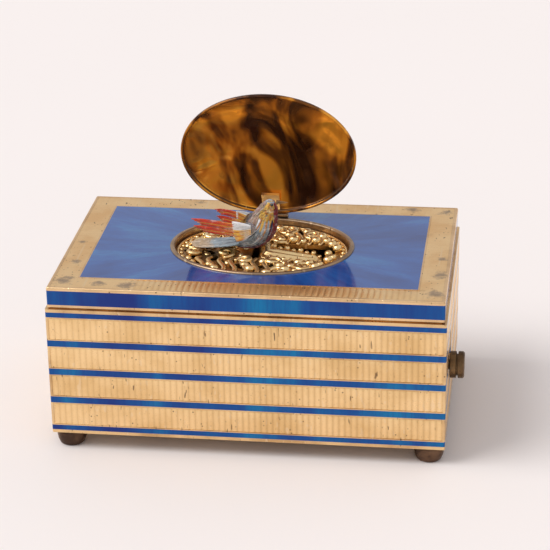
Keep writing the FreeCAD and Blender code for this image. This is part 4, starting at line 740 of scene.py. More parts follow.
@dataclass
class FlutedMetal:
    """The reeded fields of the case and of the cover's border, cut into the metal at an even pitch."""

    finishes: Finishes
    joints: list[dict] = field(default_factory=list)
    pitch: float = 1.53 * MM
    relief: float = 0.15 * MM
    sunk: float = 0.012 * MM
    samples: int = 8
    corner: float = 0.75 * MM
    rim: float = 0.30 * MM
    rows: int = 4
    row_pitch: float = 7.93 * MM
    stripe: float = 1.7 * MM
    edge_stripe: float = 1.35 * MM
    stem: float = 1.75 * MM
    border_outer: float = 0.92 * MM
    border_inner: float = 0.47 * MM

    def reed(self, along: Array) -> Array:
        """Height of the reeding: rounded ribs between narrow grooves, as the square root of a sine's size."""
        return np.sqrt(np.abs(np.sin(math.pi * along / self.pitch)) + 1e-9)

    def strip(self, shape: Shape, start: Vector, along: Vector, across: Vector, outward: Vector,
              strength: Array | float = 1.0) -> None:
        """Adds one fluted strip whose grooves run across it.

        The surface stands back from the metal's face by the relief, and each rib rises to the face. Towards
        the strip's two long edges the ribs fall away in a quarter circle.

        Args:
            shape: The shape to add to.
            start: The strip's first corner, on the metal's face.
            along: Vector of its length.
            across: Vector of its width.
            outward: The face's direction.
            strength: How deep the cutting and its painted groove shade still are, 0 to 1, or a function of the
                share of the length.
        """
        ribs = max(4, round(along.length / self.pitch))
        count = ribs * self.samples + 1
        share = np.linspace(0, 1, count)
        ends = np.array([0, 0.01, 0.03, 0.5, 0.97, 0.99, 1.0])
        rise = self.reed(share * along.length)[None, :]
        rounded = np.sqrt(np.clip(1 - (1 - np.clip(np.minimum(ends, 1 - ends) / 0.03, 0, 1)) ** 2, 0, 1))[:, None]
        deep = np.broadcast_to(strength(share) if callable(strength) else strength, count)[None, :]
        height = -self.relief * (1 - rounded * rise) * deep - self.sunk
        points = (np.array(start) + share[None, :, None] * np.array(along) + ends[:, None, None] * np.array(across)
                  + height[..., None] * np.array(outward))
        # Painted shade: how deep each point lies in the grooves, carried in the tint's alpha for the fluted gilt
        # to darken.
        groove = np.broadcast_to((1 - rise) * deep, height.shape)
        tint = np.concatenate([np.ones(height.shape + (3,)), groove[..., None]], axis=-1)
        shape.grid(points, tint)

    def case_fields(self) -> None:
        """Cuts the four rows of flutes on every side of the case, one piece for each side."""
        low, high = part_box("case_shell")
        first_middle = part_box("case_enamel_stripes")[0].z + self.edge_stripe / 2
        rows = []
        for row in range(self.rows):
            below = self.edge_stripe if row == 0 else self.stripe
            above = self.edge_stripe if row == self.rows - 1 else self.stripe
            middle = first_middle + row * self.row_pitch
            rows.append((middle + below / 2 + self.rim, middle + self.row_pitch - above / 2 - self.rim))
        sides = {
            "front": (Vector((low.x, low.y, 0)), Vector((1, 0, 0)), high.x - low.x, Vector((0, -1, 0))),
            "right": (Vector((high.x, low.y, 0)), Vector((0, 1, 0)), high.y - low.y, Vector((1, 0, 0))),
            "rear": (Vector((high.x, high.y, 0)), Vector((-1, 0, 0)), high.x - low.x, Vector((0, 1, 0))),
            "left": (Vector((low.x, high.y, 0)), Vector((0, -1, 0)), high.y - low.y, Vector((-1, 0, 0))),
        }
        knob_low, knob_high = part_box("start_knob")
        slide = next(j for j in self.joints if j["name"] == "start_slide")["range_m"][1]
        for name, (corner, direction, length, outward) in sides.items():
            shape = Shape()
            for bottom, ceiling in rows:
                spans = [(self.corner, length - self.corner)]
                knob_up = (knob_low.z + knob_high.z) / 2
                if name == "right" and bottom < knob_up + self.stem and ceiling > knob_up - self.stem:
                    middle = (knob_low.y + knob_high.y) / 2 - low.y
                    spans = [(self.corner, middle - self.stem), (middle + slide + self.stem, length - self.corner)]
                for first, last in spans:
                    start = corner + direction * first
                    start.z = bottom
                    # Painted shade: the cutting, and with it the painted shade in the grooves, grows stronger
                    # towards the right, standing in for harder light and shade on that side.
                    self.strip(shape, start, direction * (last - first), Vector((0, 0, ceiling - bottom)), outward,
                               lambda share: 0.55 + 0.45 * smooth_step(share, 0.1, 0.6))
            shape.piece(f"fluted_fields_{name}", self.finishes.case_flutes, Body.CASE)

    def border_fields(self) -> None:
        """Cuts the cover's border: crisp along the front, rubbed nearly smooth on the other sides."""
        low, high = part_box("top_cover")
        panel_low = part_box("top_enamel_panel")[0]
        outer = self.border_outer
        wide = panel_low.y - low.y - outer - self.border_inner
        x0, x1 = low.x + outer, high.x - outer
        y0, y1 = low.y + outer, high.y - outer

        def front_wear(share: Array) -> Array:
            """Rubbed away at the left quarter and near the right corner."""
            left = smooth_step(share, 0.17, 0.24)
            return 0.10 + 0.85 * left * (1 - smooth_step(share, 0.92, 0.97))

        def old_wear(share: Array) -> Array:
            """Only traces are left."""
            return 0.10 + 0.08 * np.sin(share * 9.0) ** 2

        up = Vector((0, 0, 1))
        shape = Shape()
        self.strip(shape, Vector((x0, y0, high.z)), Vector((x1 - x0, 0, 0)), Vector((0, wide, 0)), up, front_wear)
        self.strip(shape, Vector((x0, y1 - wide, high.z)), Vector((x1 - x0, 0, 0)), Vector((0, wide, 0)), up,
                   old_wear)
        length = y1 - y0 - 2 * wide
        for x in (x0, x1 - wide):
            self.strip(shape, Vector((x + wide, y0 + wide, high.z)), Vector((0, length, 0)), Vector((-wide, 0, 0)),
                       up, old_wear)
        shape.piece("fluted_border", self.finishes.border_flutes, Body.CASE)

    def build(self) -> None:
        """Builds every fluted piece."""
        self.case_fields()
        self.border_fields()


@dataclass
class Scrollwork:
    """The cast foliage of the grille: curls with berry ends, rows of berries and stems, over the pierced plate."""

    finishes: Finishes
    wire: float = 0.52 * MM
    berry: float = 0.92 * MM
    berry_pitch: float = 3.0 * MM
    rim_beads: int = 46
    rim_share: float = 0.93
    slot: tuple[float, float, float] = (0.0, 0.0, 0.0)

    def curl(self, shape: Shape, middle: Array, size: float, turn: float, hand: float,
             turns: float = 1.25) -> None:
        """A curl: a spiral whose radius shrinks steadily to a berry at its heart.

        Args:
            shape: The shape to add to.
            middle: Its heart, on the plate.
            size: Its outer radius.
            turn: The angle at which it starts.
            hand: +1 or -1, the way it winds.
            turns: How many turns it makes.
        """
        share = np.linspace(0, 1, int(26 * turns))
        angle = turn + hand * 2 * math.pi * turns * share
        radius = size * (1 - share) ** 0.8 + 0.12 * size
        path = np.stack([middle[0] + radius * np.cos(angle), middle[1] + radius * np.sin(angle),
                         middle[2] + 0.25 * MM + 0.45 * MM * np.sin(math.pi * share)], axis=-1)
        body = self.wire * (0.55 + 0.75 * np.sin(math.pi * np.clip(share * 0.9 + 0.08, 0, 1)))
        shape.sweep(path, body * 1.15, body, np.array([0, 0, 1.0]), sides=8)
        shape.ball(path[-1], size * 0.36, squash=0.8)

    def clear(self, x: float, y: float, reach: float) -> bool:
        """Whether a shape of that reach stays off the bird's slot."""
        return abs(y) > self.slot[2] + reach or x > self.slot[1] + reach or x < self.slot[0] - reach

    def rings(self, shape: Shape, centre: Vector, half: Vector, top: float) -> None:
        """Lays curls and berries along ovals that shrink towards the middle."""
        for ring, (share, count, size) in enumerate(((0.80, 15, 2.7 * MM), (0.44, 8, 2.3 * MM))):
            for k in range(count):
                angle = 2 * math.pi * (k + 0.5 * (ring % 2)) / count
                x = centre.x + share * half.x * math.cos(angle)
                y = share * half.y * math.sin(angle)
                front = y < -0.45 * half.y and x < centre.x + 0.15 * half.x
                if front or not self.clear(x, y, size * 0.9):
                    continue
                hand = 1 if (k + ring) % 2 else -1
                self.curl(shape, np.array([x, y, top]), size * (0.88 + 0.12 * math.sin(3 * k + ring)),
                          angle + hand * 1.1, hand)
        for k in range(self.rim_beads):
            angle = 2 * math.pi * (k + 0.25) / self.rim_beads
            x = centre.x + self.rim_share * half.x * math.cos(angle)
            spot = np.array([x, self.rim_share * half.y * math.sin(angle), top])
            shape.ball(spot, 0.62 * self.berry, rows=7, columns=12, squash=0.85)

    def berries(self, shape: Shape, centre: Vector, half: Vector, top: float) -> None:
        """Strews plump berries in staggered rows, close at the back and the right and sparser in front."""
        pitch = self.berry_pitch
        for row, y in enumerate(np.arange(-half.y, half.y, 0.84 * pitch)):
            for k, x in enumerate(np.arange(-half.x, half.x, pitch)):
                wave = math.sin(2.3 * k + 1.7 * row)
                spot = np.array([centre.x + x + (0.5 * (row % 2) + 0.10 * wave) * pitch, y, 0.0])
                size = self.berry * (1.30 + 0.18 * wave)
                away = ((spot[0] - centre.x) / half.x) ** 2 + (y / half.y) ** 2
                sparse = y < 0 and spot[0] < centre.x + 0.2 * half.x
                if away > 0.80 or (sparse and (k + row) % 3) or not self.clear(spot[0], y, 0.35 * size):
                    continue
                under_bird = spot[0] < centre.x and abs(y) < 0.5 * half.y
                spot[2] = top + ((-0.30 if under_bird else 0.30) + 0.18 * wave) * size
                shape.ball(spot, size, rows=9, columns=16, squash=0.82)

    def stems(self, shape: Shape, centre: Vector, half: Vector, top: float) -> None:
        """Adds the stems that sway from the slot's edge out to the rim, each like a flat S."""
        for side in (-1, 1):
            for place in np.linspace(-0.66, 0.62, 11):
                x = centre.x + place * half.x
                edge = math.sqrt(1 - place * place) * half.y
                near, far = self.slot[2] + 0.3 * MM, edge * 0.96
                sway = 0.95 * MM * side
                points = np.array([[x + 0.4 * sway, side * near, top + 0.1 * MM],
                                   [x + sway, side * (near + 0.3 * (far - near)), top + 0.6 * MM],
                                   [x - sway, side * (near + 0.7 * (far - near)), top + 0.55 * MM],
                                   [x - 0.2 * sway, side * far, top + 0.1 * MM]])
                path = curve_through(points, 26)
                wide = self.wire * (0.75 + 0.55 * np.sin(math.pi * np.linspace(0.1, 0.9, 26)))
                shape.sweep(path, wide, self.wire * 0.75, np.array([0, 0, 1.0]), sides=8)

    def build(self) -> None:
        """Builds the foliage."""
        low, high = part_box("grille")
        centre, half, top = (low + high) / 2, (high - low) / 2, high.z
        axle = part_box("carriage_axle")
        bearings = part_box("carriage_bearings")
        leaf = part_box("bird_carriage")
        self.slot = ((axle[0].x + axle[1].x) / 2 - 2.8 * MM, leaf[1].x + 1.0 * MM, bearings[1].y - 1.3 * MM)
        shape = Shape()
        self.rings(shape, centre, half, top)
        self.berries(shape, centre, half, top)
        self.stems(shape, centre, half, top)
        shape.piece("grille_scrollwork", self.finishes.scroll_gilt, Body.CASE)
        bead = self.wire * 0.7
        turn = np.linspace(0, 2 * math.pi, 9)[:-1]
        section = np.stack([bead * np.cos(turn), top + bead * (0.5 + np.sin(turn))], axis=-1)
        rim = Shape()
        rim.oval_ring((half.x - 0.7 * MM, half.y - 0.7 * MM), section)
        rim.move(Matrix.Translation((centre.x, 0, 0)))
        rim.piece("grille_rim_bead", self.finishes.scroll_gilt, Body.CASE, mend=True)


@dataclass
class RibbedLeaf:
    """The long ribbed leaf that closes the slot while the bird stands, with its hub on the axle."""

    finishes: Finishes
    tilt: float = math.radians(3.5)
    rib: float = 0.62 * MM
    crown: float = 0.8 * MM
    hub: float = 1.4 * MM
    collar: float = 1.55 * MM

    def raised(self, share: Array | float) -> Array | float:
        """How high the plate's face lies over the axle: highest beside the post."""
        return (0.9 + 1.3 * (1 - share)) * MM

    def build(self) -> None:
        """Builds the leaf and hub in place of the plain carriage."""
        axle_low, axle_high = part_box("carriage_axle")
        low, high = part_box("bird_carriage")
        axle = (axle_low + axle_high) / 2
        half = (high.y - low.y) / 2
        length = (high.x - axle.x) / math.cos(self.tilt)
        share = np.linspace(0, 1, 44)[:, None]
        across = np.linspace(-1, 1, 61)[None, :]
        ribbed = 0.50 - 0.22 * smooth_step(share, 0.55, 1.0)
        rounded = np.sqrt(1 - 0.8 * smooth_step(share, 0.86, 1.0) ** 2)
        outline = half * (0.74 + 0.24 * smooth_step(share, 0.0, 0.2)) * rounded
        inner = np.clip(across / ribbed, -1, 1)
        fading = smooth_step(share, 0.0, 0.08) * (1 - 0.8 * smooth_step(share, 0.86, 1.0))
        ribs = self.rib * np.abs(np.cos(1.5 * math.pi * inner)) ** 0.7 * fading * (1 - 0.2 * np.abs(inner))
        crown = self.crown * (1 - inner**2) * fading
        x = length * share * np.ones_like(across)
        y = outline * across
        top_z = self.raised(share) + ribs + crown
        under = np.full_like(top_z, -0.3 * MM) + self.raised(share)
        upper = np.stack([x, y, top_z], axis=-1)
        lower = np.stack([x, y, np.minimum(under, top_z - 0.2 * MM)], axis=-1)
        loop = np.concatenate([upper[:, ::-1], lower], axis=1)
        shape = Shape()
        shape.grid(loop[::-1], around=True, ends=True)
        shape.move(Matrix.Translation(axle) @ Matrix.Rotation(self.tilt, 4, "Y"))
        shape.piece("ribbed_leaf", self.finishes.scroll_gilt, Body.CARRIAGE, mend=True)
        beads = Shape()
        for side in (-1, 1):
            for k, place in enumerate(np.linspace(0.16, 0.95, 8)):
                out = half * (0.80 - 0.14 * (k % 2) - 0.28 * max(0.0, place - 0.8) / 0.15)
                spot = np.array([length * place, side * out, self.raised(place) + 0.4 * MM])
                beads.ball(spot, (0.62 + 0.2 * ((k + 1) % 2)) * MM, rows=9, columns=16, squash=0.9)
        beads.move(Matrix.Translation(axle) @ Matrix.Rotation(self.tilt, 4, "Y"))
        beads.piece("leaf_berries", self.finishes.scroll_gilt, Body.CARRIAGE)
        hub = Shape()
        path = np.array([[axle.x, low.y + step * 2 * half, axle.z] for step in np.linspace(0, 1, 15)])
        radius = self.hub * (1 - 0.25 * np.abs(np.sin(np.linspace(0, 3 * math.pi, 15))))
        hub.sweep(path, radius, radius, np.array([0, 0, 1.0]), sides=16)
        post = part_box("bird_post")
        foot = (post[0] + post[1]) / 2
        collar = np.array([[foot.x, foot.y, axle.z + step * 3.0 * MM] for step in np.linspace(-0.3, 0.62, 9)])
        hub.sweep(collar, self.collar, self.collar, np.array([0, 1.0, 0]), sides=16)
        hub.piece("carriage_hub", self.finishes.scroll_gilt, Body.CARRIAGE, ("bird_carriage",))


# ----------------------------------------------------------------------------------------------- lid


@dataclass
class OvalLid:
    """The domed oval lid: amber gilt lining, gilt rim bead and a cap of blue enamel."""

    finishes: Finishes
    joint: dict
    skin: float = 0.6 * MM
    rim: float = 0.9 * MM
    rise: float = 4.2 * MM
    full: float = 12.0 * MM
    border: float = 1.6 * MM

    def dome(self, half: tuple[float, float], rise: float, base: float, reach: float = 1.0,
             rows: int = 40, columns: int = 144) -> Array:
        """A dome on an oval: its height is that of an ellipsoid cut by a level plane.

        Args:
            half: The oval's half length and half depth.
            rise: Height of the dome.
            base: Height of its edge.
            reach: How much of the oval to cover, from the middle out.
            rows: Rings from the middle out.
            columns: Points round a ring.

        Returns:
            A grid of points from the pole to the edge.
        """
        share = np.linspace(0.004, reach, rows)[:, None]
        angle = np.linspace(0, 2 * math.pi, columns, endpoint=False)[None]
        bend = 1 - (1 - rise / self.full) ** 2
        height = base + self.full * np.sqrt(1 - bend * share**2) - (self.full - rise)
        return np.stack([half[0] * share * np.cos(angle), half[1] * share * np.sin(angle),
                         height * np.ones_like(angle)], axis=-1)

    def build(self) -> None:
        """Builds the lid closed and turns it up about its hinge."""
        low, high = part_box("lid_shell")
        bezel_low, bezel_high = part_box("oval_bezel")
        long_half = (high.x - low.x) / 2
        inset = (bezel_high.x - bezel_low.x) / 2 - long_half
        short_half = (bezel_high.y - bezel_low.y) / 2 - inset
        middle_x = (low.x + high.x) / 2
        hinge = Vector(self.joint["pos_m"])
        base = bezel_high.z + 0.06 * MM
        opened = Matrix.Rotation(-math.radians(self.joint["range_deg"][1]), 4, "X")
        pose = Matrix.Translation(hinge) @ opened @ Matrix.Translation(-hinge)
        pose = pose @ Matrix.Translation((middle_x, 0, 0))
        outer = self.dome((long_half, short_half), self.rise, base + self.rim)
        inner = self.dome((long_half - self.skin, short_half - self.skin), self.rise - self.skin,
                          base + self.rim)
        rim_out, rim_in = outer[-1:].copy(), inner[-1:].copy()
        rim_out[..., 2], rim_in[..., 2] = base, base
        shell = Shape()
        shell.grid(np.concatenate([inner, rim_in, rim_out, outer[::-1]])[::-1], around=True, ends=True)
        shell.move(pose)
        shell.piece("lid_dome", self.finishes.lid_gilt, Body.LID, ("lid_shell",), mend=True)
        bead = 0.42 * MM
        turn = np.linspace(0, 2 * math.pi, 11)[:-1]
        section = np.stack([bead * np.cos(turn) - 0.98 * bead, base + 0.55 * MM + bead * np.sin(turn)], axis=-1)
        ring = Shape()
        ring.oval_ring((long_half, short_half), section, 180)
        ring.move(pose)
        ring.piece("lid_rim_bead", self.finishes.dark_gilt, Body.LID, mend=True)
        cap = Shape()
        lift = 0.06 * MM
        reach = 1 - self.border / long_half
        top = self.dome((long_half, short_half), self.rise, base + self.rim + lift, reach)
        under = top.copy()
        under[..., 2] -= 0.25 * MM
        cap.grid(np.concatenate([under, top[::-1]])[::-1], around=True, ends=True)
        cap.move(pose)
        cap.piece("lid_enamel_cap", self.finishes.lid_enamel, Body.LID, ("lid_enamel",), mend=True)


# ---------------------------------------------------------------------------------------------- bird


@dataclass
class FeatheredBird:
    """The bird: a plump body under overlapping feathers, a head, a beak, two fanned wings and a long tail."""

    finishes: Finishes
    seed: int = 7
    grey: Colour = (0.34, 0.42, 0.47)
    slate: Colour = (0.12, 0.16, 0.21)
    white: Colour = (0.84, 0.84, 0.85)
    rose: Colour = (0.55, 0.33, 0.27)
    yellow: Colour = (0.86, 0.50, 0.08)
    orange: Colour = (0.72, 0.27, 0.04)
    crimson: Colour = (0.28, 0.008, 0.012)
    # Dark blue painted shade for the breast beside the crimson line.
    breast_shade_navy: Colour = (0.03, 0.035, 0.09)
    scarlet: Colour = (0.66, 0.05, 0.018)
    tan: Colour = (0.52, 0.38, 0.24)

    def __post_init__(self) -> None:
        """Finds the bird's place and its line from rump to crown."""
        post_low, post_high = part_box("bird_post")
        self.draw = np.random.default_rng(self.seed)
        self.x = (post_low.x + post_high.x) / 2 - 2.0 * MM
        self.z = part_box("top_cover")[1].z
        line = np.array([[-6.2, 1.1], [-4.6, 1.4], [-1.8, 2.7], [0.5, 5.2], [1.6, 8.3], [2.5, 10.8], [3.0, 13.2]])
        self.line = np.stack([self.x + line[:, 0] * MM, np.zeros(len(line)), self.z + line[:, 1] * MM], axis=-1)
        self.radius = np.array([1.1, 1.9, 3.1, 3.6, 3.1, 2.1, 1.3]) * MM

    def spine(self, share: Array) -> tuple[Array, Array, Array]:
        """The body's middle line, its direction and its radius.

        Args:
            share: 0 at the rump and 1 at the crown.

        Returns:
            Points, directions and radii.
        """
        steps = 200
        dense = curve_through(self.line, steps)
        thick = curve_through(self.radius[:, None], steps)
        table = np.concatenate([dense, unit(np.gradient(dense, axis=0)), thick], axis=1)
        at = np.clip(share, 0, 1) * (steps - 1)
        picked = np.stack([np.interp(at, np.arange(steps), column) for column in table.T], axis=-1)
        return picked[..., :3], unit(picked[..., 3:6]), picked[..., 6]

    def skin(self, share: Array, angle: Array, lift: Array) -> tuple[Array, Array]:
        """A point on the body and its outward direction.

        The angle is 0 at the breast and grows towards the far side. The body is narrower than it is deep.

        Args:
            share: Place along the body.
            angle: Place round it.
            lift: Distance off the skin.

        Returns:
            Points and outward directions.
        """
        middle, way, radius = self.spine(share)
        side = np.broadcast_to(np.array([0, 1.0, 0]), middle.shape)
        breast = np.cross(side, way)
        outward = breast * np.cos(angle)[..., None] + side * np.sin(angle)[..., None] * 0.76
        return middle + outward * (radius + lift)[..., None], unit(outward)

    def shade(self, share: float, angle: float) -> Array:
        """The colour of a feather by its place: gold head, crimson breast line edged with dark blue painted shade,
        rosy nape and grey-blue flanks.
        """
        front = math.cos(angle)
        luck = self.draw.random()
        if front > 0.78 and share > 0.20:
            colour = self.crimson
        elif share > 0.70:
            colour = self.yellow if luck < 0.66 else self.orange
            if front < -0.55:
                colour = self.tan if luck < 0.6 else self.rose
        # Painted shade: dark blue feathers beside the crimson line, mixed with crimson and grey, stand for shade
        # along the breast.
        elif front > 0.58 and share > 0.3:
            colour = self.breast_shade_navy if luck < 0.4 else (self.crimson if luck < 0.7 else self.grey)
        elif share > 0.56:
            colour = self.white if luck < 0.42 else (self.rose if luck < 0.78 else self.grey)
        elif share > 0.25:
            colour = self.grey if luck < 0.50 else (self.white if luck < 0.84 else self.slate)
        else:
            colour = self.grey if luck < 0.66 else (self.white if luck < 0.8 else self.slate)
        jitter = 0.85 + 0.3 * self.draw.random()
        return np.array([*(min(1.0, channel * jitter) for channel in colour), 1.0])

    def body(self) -> None:
        """Builds the body's core and its coat of feathers."""
        shape = Shape()
        share = np.linspace(0, 1, 40)
        middle, _, radius = self.spine(share)
        taper = np.sqrt(np.clip(1 - (np.clip((share - 0.90) / 0.10, 0, 1)) ** 2, 0.02, 1))
        taper = taper * np.sqrt(np.clip(share / 0.10, 0.05, 1))
        shape.sweep(middle, radius * 0.74 * taper, radius * 0.98 * taper, np.array([0.7, 0, 0.7]),
                    (*self.grey, 1.0), sides=24)
        for row, start in enumerate(np.linspace(0.985, 0.13, 30)):
            count = 22 if start < 0.75 else 14
            for k in range(count):
                angle = 2 * math.pi * (k + 0.5 * (row % 2) + 0.5 * (self.draw.random() - 0.5)) / count
                length = (0.24 if start < 0.72 else 0.11) * (0.8 + 0.4 * self.draw.random())
                self.feather(shape, start, angle, length)
        shape.piece("feathered_body", self.finishes.plumage, Body.BIRD, ("bird_body",))

    def feather(self, shape: Shape, start: float, angle: float, length: float) -> None:
        """One feather lying back along the body, its tip a little lifted.

        Args:
            shape: The shape to add to.
            start: Its root, along the body.
            angle: Its root, round the body.
            length: Its length, as a share of the body's.
        """
        step = np.linspace(0, 1, 6)
        drift = 0.30 * (self.draw.random() - 0.5)
        cap = max(0.0, (start - 0.90) / 0.10)
        lift = (0.02 + (0.16 + 0.22 * self.draw.random()) * step**1.4 - 1.0 * cap**2 * (1 - step)) * MM
        path, outward = self.skin(start - length * step, angle + drift * step, lift)
        wide = 0.38 * MM * np.sin(math.pi * (0.12 + 0.80 * step)) ** 0.7 * (0.8 + 0.4 * self.draw.random())
        colour = self.shade(start, angle)
        darker = colour * np.array([0.68, 0.70, 0.76, 1.0])
        tint = colour[None] * (1 - step[:, None]) + darker[None] * step[:, None]
        shape.sweep(path, wide, 0.06 * MM, outward, tint, sides=6)

    def plume(self, shape: Shape, points: Array, wide: float, up: Array, root: Colour, tip: Colour,
              fade: float = 0.5) -> None:
        """One long feather along a curve, with a round tip and a quill.

        Args:
            shape: The shape to add to.
            points: Where it passes.
            wide: Its half width.
            up: The direction of its flat side.
            root: Its colour at the root.
            tip: Its colour at the tip.
            fade: Where along it the colour turns.
        """
        path = curve_through(points, 16)
        step = np.linspace(0, 1, 16)
        vane = wide * np.sin(math.pi * np.clip(0.10 + 0.86 * step, 0, 1)) ** 0.5
        share = smooth_step(step, fade - 0.25, fade + 0.25)[:, None]
        jitter = 0.85 + 0.3 * self.draw.random()
        colour = (np.array(root)[None] * (1 - share) + np.array(tip)[None] * share) * jitter
        tint = np.concatenate([np.clip(colour, 0, 1), np.ones((16, 1))], axis=1)
        flat = np.asarray(up, float)
        shape.sweep(path, vane, 0.08 * MM, flat, tint, sides=6)
        quill = (*(min(1.0, 1.2 * channel) for channel in tip), 1.0)
        shape.sweep(path + 0.06 * MM * flat, 0.08 * MM, 0.07 * MM, flat, quill, sides=5)

    def wing(self, name: str, node: str, side: float) -> None:
        """A wing: narrow scarlet feathers splayed behind short gold and grey ones.

        Args:
            name: The piece's name.
            node: The plain wing that it stands for.
            side: -1 for the near side and +1 for the far side.
        """
        low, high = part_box(node)
        yoke_low, yoke_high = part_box("wing_yoke")
        root = (yoke_low + yoke_high) / 2
        y, length = (low.y + high.y) / 2, root.x - low.x
        shape = Shape()
        out = np.array([0, side, 0.15])
        reach = length * (1.0 if side < 0 else 0.66)
        reds = 8
        for k in range(reds):
            share = k / (reds - 1)
            upper = k < reds // 2
            start = np.array([root.x - (1.0 + 2.6 * share) * MM, y, root.z + (0.4 - 2.5 * share) * MM])
            end = np.array([root.x - reach * (1.0 - 0.05 * k + (0.0 if upper else 0.16)), y,
                            root.z + (2.2 - 0.42 * k - (0.0 if upper else 0.2)) * MM])
            bow = np.array([0, side * 0.22 * MM, (0.30 if upper else 0.12) * MM])
            points = np.stack([start, start + 0.35 * (end - start) + bow, start + 0.75 * (end - start) + bow, end])
            first = self.orange if k % 2 else self.yellow
            last = self.scarlet if k % 4 != 2 else self.orange
            self.plume(shape, points, (0.34 + 0.1 * (k % 2)) * MM, out, first, last, 0.30)
        coverts = 13
        for k in range(coverts):
            share = k / (coverts - 1)
            slope = math.radians(12.0 - 40.0 * share)
            cover = (5.0 - 0.6 * share) * MM
            start = np.array([root.x + 0.7 * MM, y + side * 0.14 * MM, root.z + (0.7 - 2.2 * share) * MM])
            way = np.array([-math.cos(slope), 0, math.sin(slope)])
            points = np.stack([start, start + 0.5 * cover * way + np.array([0, side * 0.25 * MM, 0]),
                               start + cover * way])
            first = self.grey if k % 2 else self.white
            last = (self.yellow if k % 3 else self.orange) if k > 4 else self.white
            self.plume(shape, points, 0.50 * MM, out, first, last, 0.45)
        shape.piece(name, self.finishes.quills, Body.WINGS, (node,))

    def tail(self) -> None:
        """The long tail: grey-blue feathers that spread and pass into tan at their tips."""
        low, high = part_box("bird_tail")
        shape = Shape()
        start_z, end_z = high.z - 1.3 * MM, low.z + 0.3 * MM
        spread = (high.y - low.y) / 2 - 0.5 * MM
        for count, reach, lift in ((9, 1.0, 0.0), (8, 0.82, 0.18), (7, 0.60, 0.36), (7, 0.40, 0.52)):
            for k in range(count):
                across = 2 * k / (count - 1) - 1
                length = (high.x - 0.3 * MM - low.x) * reach * (1 - 0.12 * across**2 - 0.05 * self.draw.random())
                y = across * spread
                share = np.array([0.0, 0.35, 0.7, 1.0])
                along = high.x - 0.3 * MM - length * share
                height = start_z + (end_z - start_z) * reach * share + lift * MM * (1 - 0.5 * share)
                points = np.stack([along, y * np.array([0.55, 0.85, 1.0, 0.96]), height], axis=-1)
                root = self.slate if k % 3 == 1 else self.grey
                tip = self.tan if reach > 0.7 else self.grey
                self.plume(shape, points, 0.66 * MM, np.array([0, 0.25 * across, 1.0]), root, tip, 0.72)
        shape.piece("long_tail", self.finishes.quills, Body.TAIL, ("bird_tail",))

    def face(self) -> None:
        """The two halves of the beak and the bead eyes."""
        for name, node, body, up in (("upper_bill", "bird_upper_beak", Body.BIRD, 1.0),
                                     ("lower_bill", "bird_lower_beak", Body.LOWER_BEAK, -1.0)):
            low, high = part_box(node)
            edge = low.z if up > 0 else high.z - 0.25 * MM
            share = np.linspace(0, 1, 12)
            depth = 0.5 * 0.6 * MM * (1 - share) ** 0.8
            path = np.stack([low.x + (high.x - low.x) * share, np.zeros(12), edge + up * depth * 0.95], axis=-1)
            shape = Shape()
            shape.sweep(path, 1.1 * depth + 0.04 * MM, depth * 0.9 + 0.03 * MM, np.array([0, 0, 1.0]), sides=12)
            shape.piece(name, self.finishes.horn, body, (node,))
        eyes = Shape()
        for side in (-1, 1):
            spot, _ = self.skin(np.array([0.93]), np.array([side * 1.2]), np.array([0.05 * MM]))
            eyes.ball(spot[0], 0.42 * MM, rows=9, columns=16)
        eyes.piece("bead_eyes", self.finishes.bead, Body.BIRD)

    def build(self) -> None:
        """Builds the whole bird."""
        self.body()
        self.wing("near_wing", "bird_wing_right", -1.0)
        self.wing("far_wing", "bird_wing_left", 1.0)
        self.tail()
        self.face()


# --------------------------------------------------------------------------------------------- studio


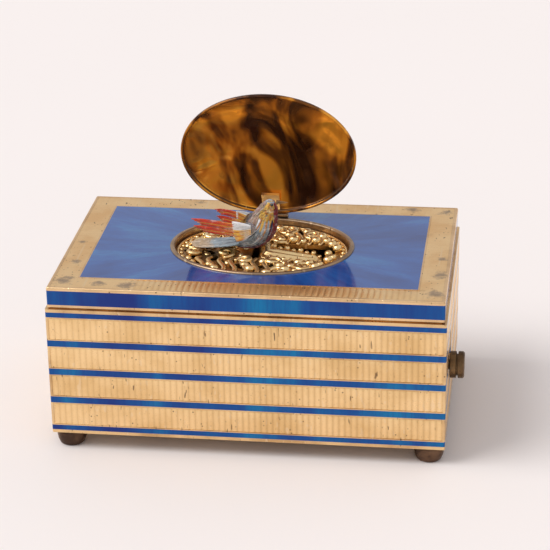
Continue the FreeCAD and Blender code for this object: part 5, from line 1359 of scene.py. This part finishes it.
@dataclass
class Studio:
    """A pale sheet, soft daylight from the left and a camera a little to the right and above."""

    azimuth: float = math.radians(7.73)
    elevation: float = math.radians(23.66)
    roll: float = math.radians(-0.99)
    distance: float = 0.5554
    target: tuple[float, float, float] = (0.001795, 0.0, 0.03684)
    angle: float = math.radians(14.797)
    sun_way: tuple[float, float, float] = (1.0, 0.35, -1.25)
    sun_strength: float = 1.75
    sun_spread: float = math.radians(38)
    sky_colour: Colour = (1.0, 0.974, 0.982)
    sky_strength: float = 0.63
    sheet_half: float = 3.0

    def camera(self) -> None:
        """Places the camera."""
        back = Vector((math.sin(self.azimuth) * math.cos(self.elevation),
                       -math.cos(self.azimuth) * math.cos(self.elevation), math.sin(self.elevation)))
        right = (-back).cross(Vector((0, 0, 1))).normalized()
        up = right.cross(-back)
        turned = right * math.cos(self.roll) + up * math.sin(self.roll)
        upright = up * math.cos(self.roll) - right * math.sin(self.roll)
        lens = bpy.data.cameras.new("camera")
        lens.angle = self.angle
        lens.clip_start = 0.01
        lens.clip_end = 50
        obj = bpy.data.objects.new("camera", lens)
        bpy.context.scene.collection.objects.link(obj)
        matrix = Matrix((turned, upright, back)).transposed().to_4x4()
        matrix.translation = Vector(self.target) + back * self.distance
        obj.matrix_world = matrix
        bpy.context.scene.camera = obj

    def lights(self) -> None:
        """Lights the scene: a broad soft sun from the left and an even pale sky."""
        world = bpy.data.worlds.new("pale_sky")
        bpy.context.scene.world = world
        world.use_nodes = True
        sky = world.node_tree.nodes["Background"]
        sky.inputs[0].default_value = (*self.sky_colour, 1.0)
        sky.inputs[1].default_value = self.sky_strength
        lamp = bpy.data.lights.new("window", "SUN")
        lamp.energy = self.sun_strength
        lamp.angle = self.sun_spread
        lamp.color = (1.0, 0.98, 0.96)
        obj = bpy.data.objects.new("window", lamp)
        obj.rotation_euler = Vector(self.sun_way).to_track_quat("-Z", "Y").to_euler()
        bpy.context.scene.collection.objects.link(obj)

    def floor(self) -> None:
        """Lays the sheet."""
        half = self.sheet_half
        mesh = bpy.data.meshes.new("sheet")
        sheet_corners = [(-half, -half, 0), (half, -half, 0), (half, half, 0), (-half, half, 0)]
        mesh.from_pydata(sheet_corners, [], [(0, 1, 2, 3)])
        mesh.materials.append(StudioFloor().build())
        obj = bpy.data.objects.new("sheet", mesh)
        bpy.context.scene.collection.objects.link(obj)

    def build(self) -> None:
        """Sets up the studio."""
        self.camera()
        self.lights()
        self.floor()
        bpy.context.scene.view_settings.view_transform = "Standard"


def main() -> None:
    """Builds the looks of the whole box."""
    logging.basicConfig(level=logging.INFO, format="%(name)s: %(message)s")
    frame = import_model()
    joints = frame["joints"]
    finishes = Finishes(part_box("top_cover"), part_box("case_shell"))
    finishes.dress(frame)
    FlutedMetal(finishes, joints=joints).build()
    Scrollwork(finishes).build()
    RibbedLeaf(finishes).build()
    OvalLid(finishes, next(joint for joint in joints if joint["name"] == "lid_hinge")).build()
    FeatheredBird(finishes).build()
    Studio().build()


if __name__ == "__main__":
    main()
